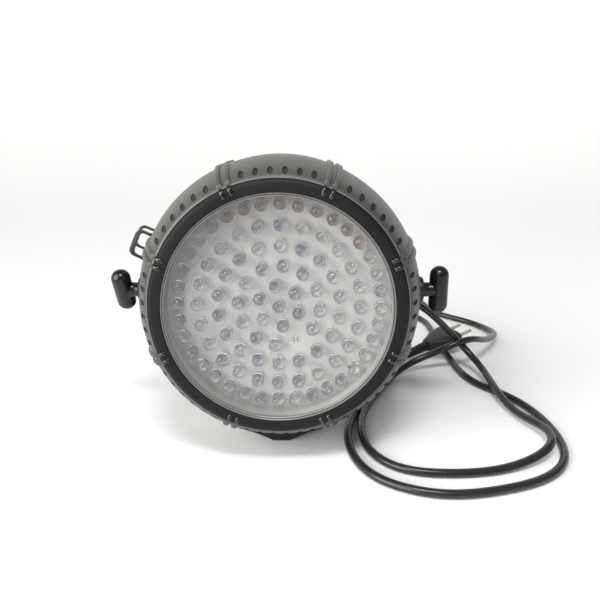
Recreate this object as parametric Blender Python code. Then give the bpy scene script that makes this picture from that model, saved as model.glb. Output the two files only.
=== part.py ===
"""Flat LED par can: a round stage light with ninety-six lamps behind a clear lens, two tilting yokes held by
T-shaped knobs, a rear panel with sockets and buttons, and a mains lead with a flat two-pin plug.

Units are metres, +Z is up and the light faces -Y. The light stands on its foot and its floor yoke, and the
origin is on the ground, midway between its sides and between its front and its back.

"The head frame" below is the light's own frame: its origin is the middle of the LED board's face, +Y runs to
the rear along the light's axis, and it leans back by LEAN from upright."""

import math

import bmesh
import bpy
from mathutils import Matrix, Vector

# --- driving dimensions ----------------------------------------------------------------------------------
LEAN = math.radians(5.0)  # the head leans back from upright
HEAD_PLACE = Vector((0.0, -0.0636, 0.1278))  # the middle of the LED board's face
GAP = 0.0003  # between pieces that touch

SHELL_RADIUS = 0.1125  # the widest part of the housing
SHELL_LIP_RADIUS = 0.0978  # where the grey shell meets the black bezel
SHELL_LIP_Y = -0.0185
SHELL_WIDEST_Y = 0.024
SHELL_BACK_Y = 0.058  # the seam between the front shell and the rear shell
SHELL_CURVE = 1.5  # exponent of the shoulder's curve: 2 would be an ellipse
WALL = 0.0028

BEZEL_FRONT_Y = -0.022
BEZEL_INNER_RADIUS = 0.0875
LENS_RADIUS = 0.0872
BOARD_RADIUS = 0.0885
BOARD_FACE_Y = 0.0015

REAR_PANEL_Y = 0.086
REAR_PANEL_RADIUS = 0.080

LED_PITCH = 0.0156  # between one ring of LEDs and the next
LED_RINGS = ((6, -9.5), (12, 6.0), (18, 1.1), (24, 1.1), (36, 1.1))  # how many, and the first one's angle
LED_RADIUS = 0.005
LED_HEIGHT = 0.0125
EMPTY_PLACE = (1, 5)  # ring and position of the one LED that is not fitted

RIB_PAIRS = 8
RIB_HALF_STEP = 1.9  # degrees from the middle of a pair to each rib
RIB_WIDTH = 0.0044
RIB_HEIGHT = 0.0022
VENTS_PER_SECTOR = 6
VENT_STEP = math.radians(5.93)
VENT_Y = -0.0135
VENT_RADIUS = 0.0023

FOOT_Y = 0.0176  # the middle of the foot, behind the LED board's face
PIVOT_Y = 0.050
STUD_RADIUS = 0.004
EYE_RADIUS = 0.0113
EYE_PROUD = 0.00005  # the round end of a yoke's arm stands this far proud of the arm
YOKE_WIDTH = 0.022
YOKE_FLAT = 0.032  # half of the flat stretch in the middle of each yoke
HANGING_ANGLE = math.radians(40.0)  # of the yokes above the light's axis, in the head frame
FLOOR_ANGLE = math.radians(-56.2)

CORD_RADIUS = 0.0035
CORD_END_GAP = 0.0010  # wider than GAP, as the lead meets the plug at a small angle
PLUG_FACE = Vector((0.1913, 0.1368, 0.0195))  # the middle of the plug's face, between its pins
PLUG_AXIS = Vector((0.869, 0.449, 0.206)).normalized()
PLUG_LENGTH = 0.0388
RELIEF_LENGTH = 0.028

ROUND = 48  # sides of the large round pieces


# --- helpers ---------------------------------------------------------------------------------------------
def clear_scene():
    for obj in list(bpy.data.objects):
        bpy.data.objects.remove(obj, do_unlink=True)


def material(name, colour, roughness, metallic=0.0, alpha=1.0):
    made = bpy.data.materials.get(name)
    if made:
        return made
    made = bpy.data.materials.new(name)
    made.use_nodes = True
    shader = made.node_tree.nodes["Principled BSDF"]
    shader.inputs["Base Color"].default_value = (*colour, 1.0)
    shader.inputs["Roughness"].default_value = roughness
    shader.inputs["Metallic"].default_value = metallic
    shader.inputs["Alpha"].default_value = alpha
    made.diffuse_color = (*colour, alpha)
    return made


def place(mesh_builder, name, finish, parent=None, location=(0, 0, 0), rotation=(0, 0, 0)):
    """Turns a bmesh into an object under its parent."""
    bmesh.ops.recalc_face_normals(mesh_builder, faces=mesh_builder.faces)
    mesh = bpy.data.meshes.new(name)
    mesh_builder.to_mesh(mesh)
    mesh_builder.free()
    mesh.shade_smooth()
    mesh.set_sharp_from_angle(angle=math.radians(35))
    obj = bpy.data.objects.new(name, mesh)
    obj.parent = parent
    obj.location = location
    obj.rotation_euler = rotation
    if finish:
        mesh.materials.append(finish)
    bpy.context.scene.collection.objects.link(obj)
    return obj


def turned(outline, sides=ROUND, closed=True):
    """A solid of revolution about +Y from (radius, y) points. An open outline starts and ends on the axis."""
    made = bmesh.new()
    points = [made.verts.new((radius, y, 0.0)) for radius, y in outline]
    edges = [made.edges.new(pair) for pair in zip(points, points[1:])]
    if closed:
        edges.append(made.edges.new((points[-1], points[0])))
    bmesh.ops.spin(
        made,
        geom=points + edges,
        cent=(0, 0, 0),
        axis=(0, 1, 0),
        angle=math.tau,
        steps=sides,
        use_merge=True,
    )
    bmesh.ops.remove_doubles(made, verts=made.verts, dist=1e-6)
    return made


def extruded(outline, low, high, axis="Y"):
    """A closed outline of (across, up) points, drawn in the plane square to the axis, from low to high."""
    spots = {
        "X": lambda across, up, along: (along, across, up),
        "Y": lambda across, up, along: (across, along, up),
        "Z": lambda across, up, along: (across, up, along),
    }[axis]
    made = bmesh.new()
    base = made.faces.new([made.verts.new(spots(across, up, low)) for across, up in outline])
    grown = bmesh.ops.extrude_face_region(made, geom=[base])["geom"]
    start, end = Vector(spots(0, 0, low)), Vector(spots(0, 0, high))
    bmesh.ops.translate(made, vec=end - start, verts=[v for v in grown if isinstance(v, bmesh.types.BMVert)])
    return made


def rod(radius, low, high, axis="Y", sides=24, across=0.0, up=0.0):
    """A cylinder along an axis, with its centre line at (across, up)."""
    angles = [math.tau * step / sides for step in range(sides)]
    outline = [(across + radius * math.cos(a), up + radius * math.sin(a)) for a in angles]
    return extruded(outline, low, high, axis)


def block(low, high):
    outline = [(low[0], low[2]), (high[0], low[2]), (high[0], high[2]), (low[0], high[2])]
    return extruded(outline, low[1], high[1])


def arc(centre, radius, start, end, steps):
    """Points on an arc, angles in degrees, both ends included."""
    angles = [math.radians(start + (end - start) * step / steps) for step in range(steps + 1)]
    return [(centre[0] + radius * math.cos(a), centre[1] + radius * math.sin(a)) for a in angles]


def rounded_box(half_width, half_height, corner, centre=(0.0, 0.0), steps=3):
    points = []
    for sx, sy, start in ((1, 1, 0), (-1, 1, 90), (-1, -1, 180), (1, -1, 270)):
        middle = (centre[0] + sx * (half_width - corner), centre[1] + sy * (half_height - corner))
        points += arc(middle, corner, start, start + 90, steps)
    return points


def joined(bodies):
    """Several closed shapes in one mesh, for use as one operand of a Boolean."""
    made = bmesh.new()
    for body in bodies:
        bmesh.ops.recalc_face_normals(body, faces=body.faces)
        scratch = bpy.data.meshes.new("scratch")
        body.to_mesh(scratch)
        body.free()
        made.from_mesh(scratch)
        bpy.data.meshes.remove(scratch)
    return made


def combine(target, bodies, operation):
    """Unites shapes with an object or cuts them from it. The helper that holds them does not render."""
    helper = place(joined(bodies), f"{target.name}_{operation.lower()}", None, target.parent)
    helper.location = target.location
    helper.rotation_euler = target.rotation_euler
    helper.hide_render = True
    helper.display_type = "WIRE"
    modifier = target.modifiers.new(operation.title(), "BOOLEAN")
    modifier.operation = operation
    modifier.object = helper
    modifier.solver = "EXACT"
    return helper


def turn_about_axis(body, degrees):
    """Turns a shape clockwise about the light's axis, as seen from the front."""
    turn = Matrix.Rotation(math.radians(degrees), 3, "Y")
    bmesh.ops.rotate(body, verts=body.verts, cent=(0, 0, 0), matrix=turn)
    return body


def frame_empty(name, location, rotation=(0, 0, 0), parent=None):
    empty = bpy.data.objects.new(name, None)
    empty.parent = parent
    empty.location = location
    empty.rotation_euler = rotation
    bpy.context.scene.collection.objects.link(empty)
    return empty


# --- finishes --------------------------------------------------------------------------------------------
def finishes():
    return {
        "grey_shell": material("grey_shell", (0.20, 0.195, 0.185), 0.42, 0.35),
        "black_plastic": material("black_plastic", (0.020, 0.020, 0.021), 0.55),
        "black_gloss": material("black_gloss", (0.012, 0.012, 0.012), 0.25),
        "black_steel": material("black_steel", (0.018, 0.018, 0.018), 0.40, 0.2),
        "clear_lens": material("clear_lens", (0.9, 0.9, 0.9), 0.08, alpha=0.35),
        "rubber": material("rubber", (0.015, 0.015, 0.015), 0.8),
        "white_plastic": material("white_plastic", (0.62, 0.61, 0.58), 0.5),
        "white_board": material("white_board", (0.66, 0.65, 0.62), 0.45),
        "green_board": material("green_board", (0.03, 0.16, 0.06), 0.45),
        "brass": material("brass", (0.6, 0.45, 0.2), 0.3, 1.0),
        "bright_steel": material("bright_steel", (0.55, 0.55, 0.56), 0.3, 1.0),
        "dark_window": material("dark_window", (0.05, 0.01, 0.01), 0.1),
        "cord_pvc": material("cord_pvc", (0.014, 0.014, 0.014), 0.3),
        "pin_sleeve": material("pin_sleeve", (0.55, 0.50, 0.42), 0.5),
    }


# --- housing ---------------------------------------------------------------------------------------------
def shell_radius(y, grow=0.0):
    """The front shell's outer radius at a depth along the light's axis."""
    if y >= SHELL_WIDEST_Y:
        return SHELL_RADIUS + grow
    part = (SHELL_WIDEST_Y - y) / (SHELL_WIDEST_Y - SHELL_LIP_Y)
    swell = (1.0 - part**SHELL_CURVE) ** (1.0 / SHELL_CURVE)
    return SHELL_LIP_RADIUS + (SHELL_RADIUS - SHELL_LIP_RADIUS) * swell + grow


def shell_depths(steps):
    """Depths from the shell's lip to its widest part, closer together near the lip, where it curves most."""
    span = SHELL_WIDEST_Y - SHELL_LIP_Y
    return [SHELL_LIP_Y + span * (step / steps) ** 1.4 for step in range(steps + 1)]


def rear_outline(grow=0.0):
    """The rear shell's outer curve from the seam to the rear panel, as (radius, y)."""
    corner = REAR_PANEL_Y - SHELL_BACK_Y - GAP
    points = []
    for step in range(5):
        angle = math.radians(90.0 * step / 4)
        radius = REAR_PANEL_RADIUS + (SHELL_RADIUS - REAR_PANEL_RADIUS) * math.cos(angle)
        points.append((radius + grow, SHELL_BACK_Y + GAP + corner * math.sin(angle) + grow * math.sin(angle)))
    return points


def rib(inner_grow, steps=4):
    """One rounded rib that follows the shoulder along its meridian, standing at the top of the light."""
    half = RIB_WIDTH / 2
    made = bmesh.new()
    rows = []
    depths = shell_depths(steps) + [SHELL_BACK_Y - 0.001]
    depths[0] += 0.0004
    for y in depths:
        radius = shell_radius(y)
        section = [
            (-half, -inner_grow),
            (-half, RIB_HEIGHT * 0.35),
            (-half * 0.5, RIB_HEIGHT),
            (half * 0.5, RIB_HEIGHT),
            (half, RIB_HEIGHT * 0.35),
            (half, -inner_grow),
        ]
        rows.append([made.verts.new((across, y, radius + up)) for across, up in section])
    for first, second in zip(rows, rows[1:]):
        for index in range(len(first)):
            after = (index + 1) % len(first)
            made.faces.new((first[index], first[after], second[after], second[index]))
    made.faces.new(rows[0])
    made.faces.new(list(reversed(rows[-1])))
    return made


def around_ribs(build):
    """One shape for each rib: two at each of the eight places, midway between the quarter points."""
    bodies = []
    for pair in range(RIB_PAIRS):
        for side in (-1, 1):
            bodies.append(turn_about_axis(build(), 360.0 / RIB_PAIRS * (pair + 0.5) + side * RIB_HALF_STEP))
    return bodies


def vent_cutters():
    """Round holes along the light's axis, six between pairs of ribs. They open as ovals on the shoulder."""
    bodies = []
    radius = shell_radius(VENT_Y)
    for sector in range(RIB_PAIRS):
        for index in range(VENTS_PER_SECTOR):
            hole = rod(VENT_RADIUS, SHELL_LIP_Y - 0.001, 0.003, "Y", 8, 0.0, radius)
            step = (index - (VENTS_PER_SECTOR - 1) / 2) * VENT_STEP
            bodies.append(turn_about_axis(hole, 360.0 / RIB_PAIRS * sector + math.degrees(step)))
    return bodies


def make_front_shell(head, finish):
    outer = [(shell_radius(y), y) for y in shell_depths(6)] + [(SHELL_RADIUS, SHELL_BACK_Y)]
    inner = [
        (SHELL_RADIUS - WALL, SHELL_BACK_Y),
        (SHELL_RADIUS - WALL, 0.024),
        (shell_radius(0.008) - WALL, 0.008),
        (0.0840, 0.008),
        (0.0840, 0.0045),
        (shell_radius(0.0045) - WALL, 0.0045),
        (shell_radius(-0.007) - WALL, -0.007),
        (0.0946, -0.0140),
        (0.0946, SHELL_LIP_Y),
    ]
    shell = place(turned(outer + inner), "front_shell", finish["grey_shell"], head)
    bosses = [rod(0.0077, side * 0.097, side * 0.1127, "X", 20, PIVOT_Y) for side in (-1, 1)]
    combine(shell, around_ribs(lambda: rib(0.0012)) + bosses, "UNION")
    holes = [rod(0.0063, side * 0.09, side * 0.12, "X", 20, PIVOT_Y) for side in (-1, 1)]
    combine(shell, vent_cutters() + holes, "DIFFERENCE")
    return shell


def bezel_bar():
    """The raised bar on the bezel that carries a rib on towards the lens."""
    side = [
        (0.0900, BEZEL_FRONT_Y + 0.0010),
        (0.0902, BEZEL_FRONT_Y - 0.0012),
        (0.0952, BEZEL_FRONT_Y - 0.0012),
        (0.0985, -0.0195),
        (0.0985, -0.0189),
        (0.0930, -0.0195),
    ]
    half = 0.0016
    made = bmesh.new()
    near = [made.verts.new((-half, y, radius)) for radius, y in side]
    far = [made.verts.new((half, y, radius)) for radius, y in side]
    made.faces.new(near)
    made.faces.new(list(reversed(far)))
    for index in range(len(side)):
        after = (index + 1) % len(side)
        made.faces.new((near[index], near[after], far[after], far[index]))
    return made


def make_bezel(head, finish):
    outline = [
        (BEZEL_INNER_RADIUS, BEZEL_FRONT_Y),
        (0.0944, BEZEL_FRONT_Y),
        (0.0974, -0.0197),
        (0.0974, SHELL_LIP_Y - GAP),
        (0.0943, SHELL_LIP_Y - GAP),
        (0.0943, -0.0125),
        (0.0908, -0.0125),
        (0.0908, -0.0190),
        (BEZEL_INNER_RADIUS, -0.0190),
    ]
    bezel = place(turned(outline), "bezel_ring", finish["black_plastic"], head)
    combine(bezel, around_ribs(bezel_bar), "UNION")


def make_lens(head, finish):
    outline = [
        (0.0, -0.0200),
        (0.0843, -0.0200),
        (0.0846, -0.0212),
        (LENS_RADIUS, -0.0212),
        (LENS_RADIUS, -0.0187),
        (0.0905, -0.0187),
        (0.0905, -0.0165),
        (0.0846, -0.0165),
        (0.0843, -0.0175),
        (0.0, -0.0175),
    ]
    place(turned(outline, closed=False), "lens", finish["clear_lens"], head)
    gasket = [(0.0866, -0.0162), (0.0904, -0.0162), (0.0904, -0.0142), (0.0866, -0.0142)]
    place(turned(gasket), "lens_gasket", finish["rubber"], head)
    collar = [(0.0866, -0.0139), (0.0885, -0.0139), (0.0885, 0.0012), (0.0866, 0.0012)]
    place(turned(collar), "light_collar", finish["white_plastic"], head)


def led_places():
    """(x, z) of each LED: one in the middle and five rings around it, less the one that is not fitted."""
    spots = [(0.0, 0.0)]
    for ring, (count, first) in enumerate(LED_RINGS):
        radius = LED_PITCH * (ring + 1)
        for index in range(count):
            if (ring, index) == EMPTY_PLACE:
                continue
            angle = math.radians(first + 360.0 * index / count)
            spots.append((radius * math.sin(angle), radius * math.cos(angle)))
    return spots


def make_led_board(head, finish):
    outline = [(0.0, BOARD_FACE_Y), (BOARD_RADIUS, BOARD_FACE_Y), (BOARD_RADIUS, 0.0031), (0.0, 0.0031)]
    board = place(turned(outline, closed=False), "led_board", finish["white_board"], head)
    lamps = [
        rod(LED_RADIUS, BOARD_FACE_Y - LED_HEIGHT, BOARD_FACE_Y + 0.0005, "Y", 6, x, z) for x, z in led_places()
    ]
    combine(board, lamps, "UNION")
    for index, angle in enumerate((45, 135, 225, 315)):
        x, z = 0.060 * math.sin(math.radians(angle)), 0.060 * math.cos(math.radians(angle))
        place(rod(0.003, 0.0034, 0.0257, "Y", 8, x, z), f"board_spacer_{index + 1}", finish["brass"], head)


def make_electronics(head, finish):
    """The power supply and the driver board behind the LEDs, each with its larger parts."""
    plate = block((-0.062, 0.026, -0.050), (0.062, 0.0276, 0.048))
    supply = place(plate, "power_supply_board", finish["green_board"], head)
    parts = [
        block((-0.030, 0.0270, -0.022), (0.002, 0.050, 0.010)),
        rod(0.009, 0.0270, 0.048, "Y", 12, 0.024, -0.028),
        rod(0.007, 0.0270, 0.044, "Y", 12, 0.040, 0.012),
        block((-0.052, 0.0270, -0.040), (-0.036, 0.040, 0.030)),
    ]
    combine(supply, parts, "UNION")
    plate = block((-0.048, 0.0765, 0.012), (0.048, 0.0781, 0.052))
    place(plate, "control_board", finish["green_board"], head)


def make_rear_shell(head, finish):
    outer = rear_outline()
    inner = [(radius - WALL, y) for radius, y in outer[:3]]
    inner = list(reversed(inner))
    floor_y = REAR_PANEL_Y - WALL
    outline = [(0.0, REAR_PANEL_Y)] + list(reversed(outer)) + [(outer[0][0] - WALL, outer[0][1])]
    outline += list(reversed(inner))[1:] + [(REAR_PANEL_RADIUS - 0.002, floor_y), (0.0, floor_y)]
    shell = place(turned(outline, closed=False), "rear_shell", finish["black_plastic"], head)
    holes = [rod(0.0125, 0.08, 0.09, "Y", 20, *spot) for spot in SOCKET_PLACES]
    holes.append(rod(0.0063, 0.08, 0.09, "Y", 16, *FUSE_PLACE))
    holes.append(rod(0.0063, 0.08, 0.09, "Y", 16, *GLAND_PLACE))
    x, z = DISPLAY_CENTRE
    holes.append(block((x - 0.0165, 0.08, z - 0.0085), (x + 0.0165, 0.09, z + 0.0085)))
    holes += [rod(0.0042, 0.08, 0.09, "Y", 12, x, BUTTON_Z) for x in BUTTON_X]
    for column in range(-4, 5):
        x, low = 0.011 * column, -0.074 + 0.002 * abs(column)
        holes.append(block((x - 0.002, 0.07, low), (x + 0.002, 0.09, -0.060)))
    combine(shell, holes, "DIFFERENCE")


SOCKET_PLACES = ((-0.040, -0.014), (-0.004, -0.032))
FUSE_PLACE = (-0.036, -0.048)
GLAND_PLACE = (0.052, -0.018)
DISPLAY_CENTRE = (0.0, 0.046)
BUTTON_Z = 0.0245
BUTTON_X = (-0.027, -0.009, 0.009, 0.027)
PANEL_FACE_Y = REAR_PANEL_Y + GAP + 0.0012


def make_control_panel(head, finish):
    low, high = REAR_PANEL_Y + GAP, PANEL_FACE_Y
    plate = extruded(rounded_box(0.046, 0.023, 0.004, (0.0, 0.0365)), low, high)
    panel = place(plate, "control_panel", finish["black_gloss"], head)
    window = rounded_box(0.0163, 0.0083, 0.002, DISPLAY_CENTRE)
    cuts = [extruded(window, low - 0.001, high + 0.001)]
    cuts += [rod(0.0040, low - 0.001, high + 0.001, "Y", 12, x, BUTTON_Z) for x in BUTTON_X]
    combine(panel, cuts, "DIFFERENCE")
    pane = rounded_box(0.0160, 0.0080, 0.0018, DISPLAY_CENTRE)
    place(extruded(pane, 0.0794, high - 0.0002), "display_window", finish["dark_window"], head)
    for name, x in zip(("menu", "down", "up", "enter"), BUTTON_X):
        top = PANEL_FACE_Y + 0.0018
        cap = [(0.0, 0.0802), (0.0046, 0.0802), (0.0046, 0.0818), (0.0036, 0.0818)]
        cap += [(0.0036, top - 0.0006), (0.0030, top), (0.0, top)]
        place(turned(cap, 12, closed=False), f"button_{name}", finish["black_plastic"], head, (x, 0, BUTTON_Z))


PIN_PLACES = ((-0.0046, 0.0015), (0.0046, 0.0015), (0.0, -0.0048))


def make_sockets(head, finish):
    """Two round signal sockets on square flanges, a fuse cap and the gland of the mains lead."""
    flange_y = REAR_PANEL_Y + GAP
    for name, (x, z) in zip(("signal_in_socket", "signal_out_socket"), SOCKET_PLACES):
        flange = extruded(rounded_box(0.0130, 0.0155, 0.003, (x, z)), flange_y, REAR_PANEL_Y + 0.0024)
        socket = place(flange, name, finish["black_steel"], head)
        combine(socket, [rod(0.0119, 0.0690, REAR_PANEL_Y + 0.0034, "Y", 20, x, z)], "UNION")
        if name == "signal_in_socket":
            cuts = [rod(0.0098, 0.0740, 0.0950, "Y", 20, x, z)]
        else:
            cuts = [rod(0.0014, 0.0740, 0.0950, "Y", 8, x + dx, z + dz) for dx, dz in PIN_PLACES]
        combine(socket, cuts, "DIFFERENCE")
    x, z = SOCKET_PLACES[0]
    pins = [rod(0.0012, 0.0725, 0.0840, "Y", 8, x + dx, z - dz) for dx, dz in PIN_PLACES]
    combine(bpy.data.objects["signal_in_socket"], pins, "UNION")
    x, z = FUSE_PLACE
    fuse = [(0.0, 0.0640), (0.0058, 0.0640), (0.0058, flange_y), (0.0082, flange_y), (0.0082, 0.0880)]
    fuse += [(0.0064, 0.0885), (0.0060, 0.0955), (0.0, 0.0955)]
    place(turned(fuse, 16, closed=False), "fuse_holder", finish["black_plastic"], head, (x, 0, z))
    x, z = GLAND_PLACE
    gland = [(0.0037, 0.0740), (0.0060, 0.0740), (0.0060, flange_y), (0.0090, flange_y), (0.0090, 0.0890)]
    gland += [(0.0074, 0.0900), (0.0046, 0.1118), (0.0037, 0.1118)]
    place(turned(gland, 16), "cord_gland", finish["rubber"], head, (x, 0, z))


def make_screws(head, finish):
    """Four screws that hold the rear shell."""
    low = REAR_PANEL_Y + GAP
    dome = [(0.0, low), (0.0034, low), (0.0034, 0.0872), (0.0022, 0.0882), (0.0, 0.0882)]
    for index, angle in enumerate((58, 122, 238, 302)):
        x, z = 0.073 * math.sin(math.radians(angle)), 0.073 * math.cos(math.radians(angle))
        screw = turned(dome, 12, closed=False)
        place(screw, f"shell_screw_{index + 1}", finish["bright_steel"], head, (x, 0, z))


def make_foot(finish):
    """The foot under the front shell. Its top follows the shell, and its pad is level with the ground."""
    middle_y = HEAD_PLACE.y + FOOT_Y
    outline = [(0.0110, 0.0023), (0.0195, 0.0064), (0.0240, 0.0082), (0.0360, 0.0120), (0.0360, 0.0300)]
    outline = [(-x, z) for x, z in reversed(outline)] + outline
    foot = place(extruded(outline, middle_y - 0.008, middle_y + 0.008), "stand_foot", finish["black_plastic"])
    combine(foot, [shell_envelope()], "DIFFERENCE")
    pad = [(-0.0067, 0.0), (0.0067, 0.0), (0.0104, 0.0020), (-0.0104, 0.0020)]
    place(extruded(pad, middle_y - 0.008, middle_y + 0.008), "foot_pad", finish["rubber"])


def shell_envelope():
    """The head's outer form, a little larger, in world space."""
    outline = [(0.0, SHELL_LIP_Y)] + [(shell_radius(y, GAP), y) for y in shell_depths(6)]
    outline += [(SHELL_RADIUS + GAP, SHELL_BACK_Y), (0.0, SHELL_BACK_Y)]
    made = turned(outline, closed=False)
    matrix = Matrix.Translation(HEAD_PLACE) @ Matrix.Rotation(-LEAN, 4, "X")
    bmesh.ops.transform(made, matrix=matrix, verts=made.verts)
    return made


# --- yokes and knobs -------------------------------------------------------------------------------------
ARM_THICKNESS = 0.0022
HANGING_INSIDE = 0.1129  # from the middle to the inner face of the hanging yoke's arm
FLOOR_INSIDE = 0.1163
HANGING_REACH = 0.014  # length of the straight arm before the bow
FLOOR_REACH = 0.0207


def yoke_line(half_width, straight, steps=22):
    """One side of the yoke's metal as (across, out) points: two arms, a round bow and a flat middle."""
    end = math.degrees(math.acos(YOKE_FLAT / half_width))
    bow = arc((0.0, straight), half_width, 0.0, end, steps // 2)
    return [(half_width, 0.0)] + bow + [(-x, out) for x, out in reversed(bow)] + [(-half_width, 0.0)]


def make_yoke(name, pivot, angle, inside, straight, finish):
    outer = yoke_line(inside + ARM_THICKNESS, straight)
    inner = yoke_line(inside, straight)
    strap = extruded(outer + list(reversed(inner)), -YOKE_WIDTH / 2, YOKE_WIDTH / 2, "Z")
    yoke = place(strap, name, finish["black_steel"], pivot, rotation=(angle, 0, 0))
    sides = ((inside, inside + ARM_THICKNESS), (-inside - ARM_THICKNESS, -inside))
    eyes = [rod(EYE_RADIUS, low - EYE_PROUD, high + EYE_PROUD, "X", 20) for low, high in sides]
    combine(yoke, eyes, "UNION")
    holes = [rod(STUD_RADIUS + GAP, low - 0.002, high + 0.002, "X", 16) for low, high in sides]
    reach = straight + inside
    for radius, x in ((0.00525, 0.0), (0.00325, -0.02), (0.00325, 0.02)):
        holes.append(rod(radius, reach - 0.02, reach + 0.02, "Y", 16, x))
    combine(yoke, holes, "DIFFERENCE")
    return yoke


def make_washer(name, pivot, low, high, finish):
    washer = place(rod(0.0105, low, high, "X", 20), name, finish, pivot)
    combine(washer, [rod(STUD_RADIUS + GAP, low - 0.001, high + 0.001, "X", 16)], "DIFFERENCE")


def make_knob(side, pivot, turn, finish):
    """A T-shaped knob on a steel stud. Its bar is upright, less the turn."""
    name = "right" if side > 0 else "left"
    stud = rod(STUD_RADIUS, *sorted((side * 0.100, side * 0.1275)), "X", 16)
    place(stud, f"knob_stud_{name}", finish["bright_steel"], pivot)
    stem = rod(0.0062, *sorted((side * 0.1202, side * 0.132)), "X", 20)
    knob = place(stem, f"knob_{name}", finish["black_plastic"], pivot, rotation=(turn, 0, 0))
    quarter = [(r, z) for r, z in arc((0.0, 0.0125), 0.008, 0.0, 90.0, 4)]
    profile = [(0.0, -0.0205)] + [(r, -z) for r, z in reversed(quarter)][1:] + quarter[:-1] + [(0.0, 0.0205)]
    bar = turned(profile, 16, closed=False)
    bmesh.ops.rotate(bar, verts=bar.verts, cent=(0, 0, 0), matrix=Matrix.Rotation(math.radians(90), 3, "X"))
    bmesh.ops.translate(bar, vec=(side * 0.134, 0, 0), verts=bar.verts)
    combine(knob, [bar], "UNION")
    bore = rod(STUD_RADIUS + GAP, *sorted((side * 0.118, side * 0.1278)), "X", 16)
    combine(knob, [bore], "DIFFERENCE")


def make_insert(side, pivot, finish):
    name = "right" if side > 0 else "left"
    low, high = sorted((side * 0.0985, side * 0.1124))
    insert = place(rod(0.0060, low, high, "X", 20), f"pivot_insert_{name}", finish["brass"], pivot)
    combine(insert, [rod(STUD_RADIUS + GAP, low - 0.001, high + 0.001, "X", 16)], "DIFFERENCE")


# The loop for a safety cable, on the outside of the hanging yoke's left arm, in the head frame
LOOP_TIP = (-0.1292, 0.0388)
LOOP_SLOPE = math.radians(24.0)
LOOP_RAILS = (  # front, back, thickness at the tip, half height, reach past the tip, rise
    (0.0685, 0.0716, 0.0040, 0.0120, 0.0, 0.0),
    (0.0872, 0.0892, 0.0026, 0.0105, 0.0020, 0.0022),
)


def loop_rail(low, high, thick, half, reach, rise):
    """A U of flat bar that opens towards the arm: 'across' runs outward, and 'up' across the U."""
    length, leg = 0.026, 0.0021
    outer = [(-length, -0.0150), (-0.011, -half)] + arc((-0.0055, -half + 0.0055), 0.0055, -90, 0, 3)
    outer += arc((-0.0055, half - 0.0055), 0.0055, 0, 90, 3) + [(-0.011, half), (-length, 0.0135)]
    inner_half = half - leg
    inner = [(-length, 0.0105), (-0.013, inner_half)]
    inner += arc((-thick - 0.0035, inner_half - 0.0035), 0.0035, 90, 0, 3)
    inner += arc((-thick - 0.0035, -inner_half + 0.0035), 0.0035, 0, -90, 3)
    inner += [(-0.013, -inner_half), (-length, -0.0120)]
    return extruded([(across + reach, up - rise) for across, up in outer + inner], low, high)


def make_safety_loop(head, finish):
    rails = [loop_rail(*rail) for rail in LOOP_RAILS]
    plate = block((-0.026, LOOP_RAILS[0][0], -0.0150), (-0.0165, LOOP_RAILS[1][1], 0.0135))
    bodies = rails + [plate]
    turn = Matrix.Rotation(math.pi + LOOP_SLOPE, 3, "Y")
    for body in bodies:
        bmesh.ops.rotate(body, verts=body.verts, cent=(0, 0, 0), matrix=turn)
        bmesh.ops.translate(body, vec=(LOOP_TIP[0], 0, LOOP_TIP[1]), verts=body.verts)
    loop = place(bodies.pop(), "safety_loop", finish["black_steel"], head)
    combine(loop, bodies, "UNION")
    outer = yoke_line(HANGING_INSIDE + ARM_THICKNESS + GAP, HANGING_REACH)
    filled = extruded(outer, -0.03, 0.03, "Z")
    matrix = Matrix.Translation((0, PIVOT_Y, 0)) @ Matrix.Rotation(HANGING_ANGLE, 4, "X")
    bmesh.ops.transform(filled, matrix=matrix, verts=filled.verts)
    combine(loop, [filled], "DIFFERENCE")


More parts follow.
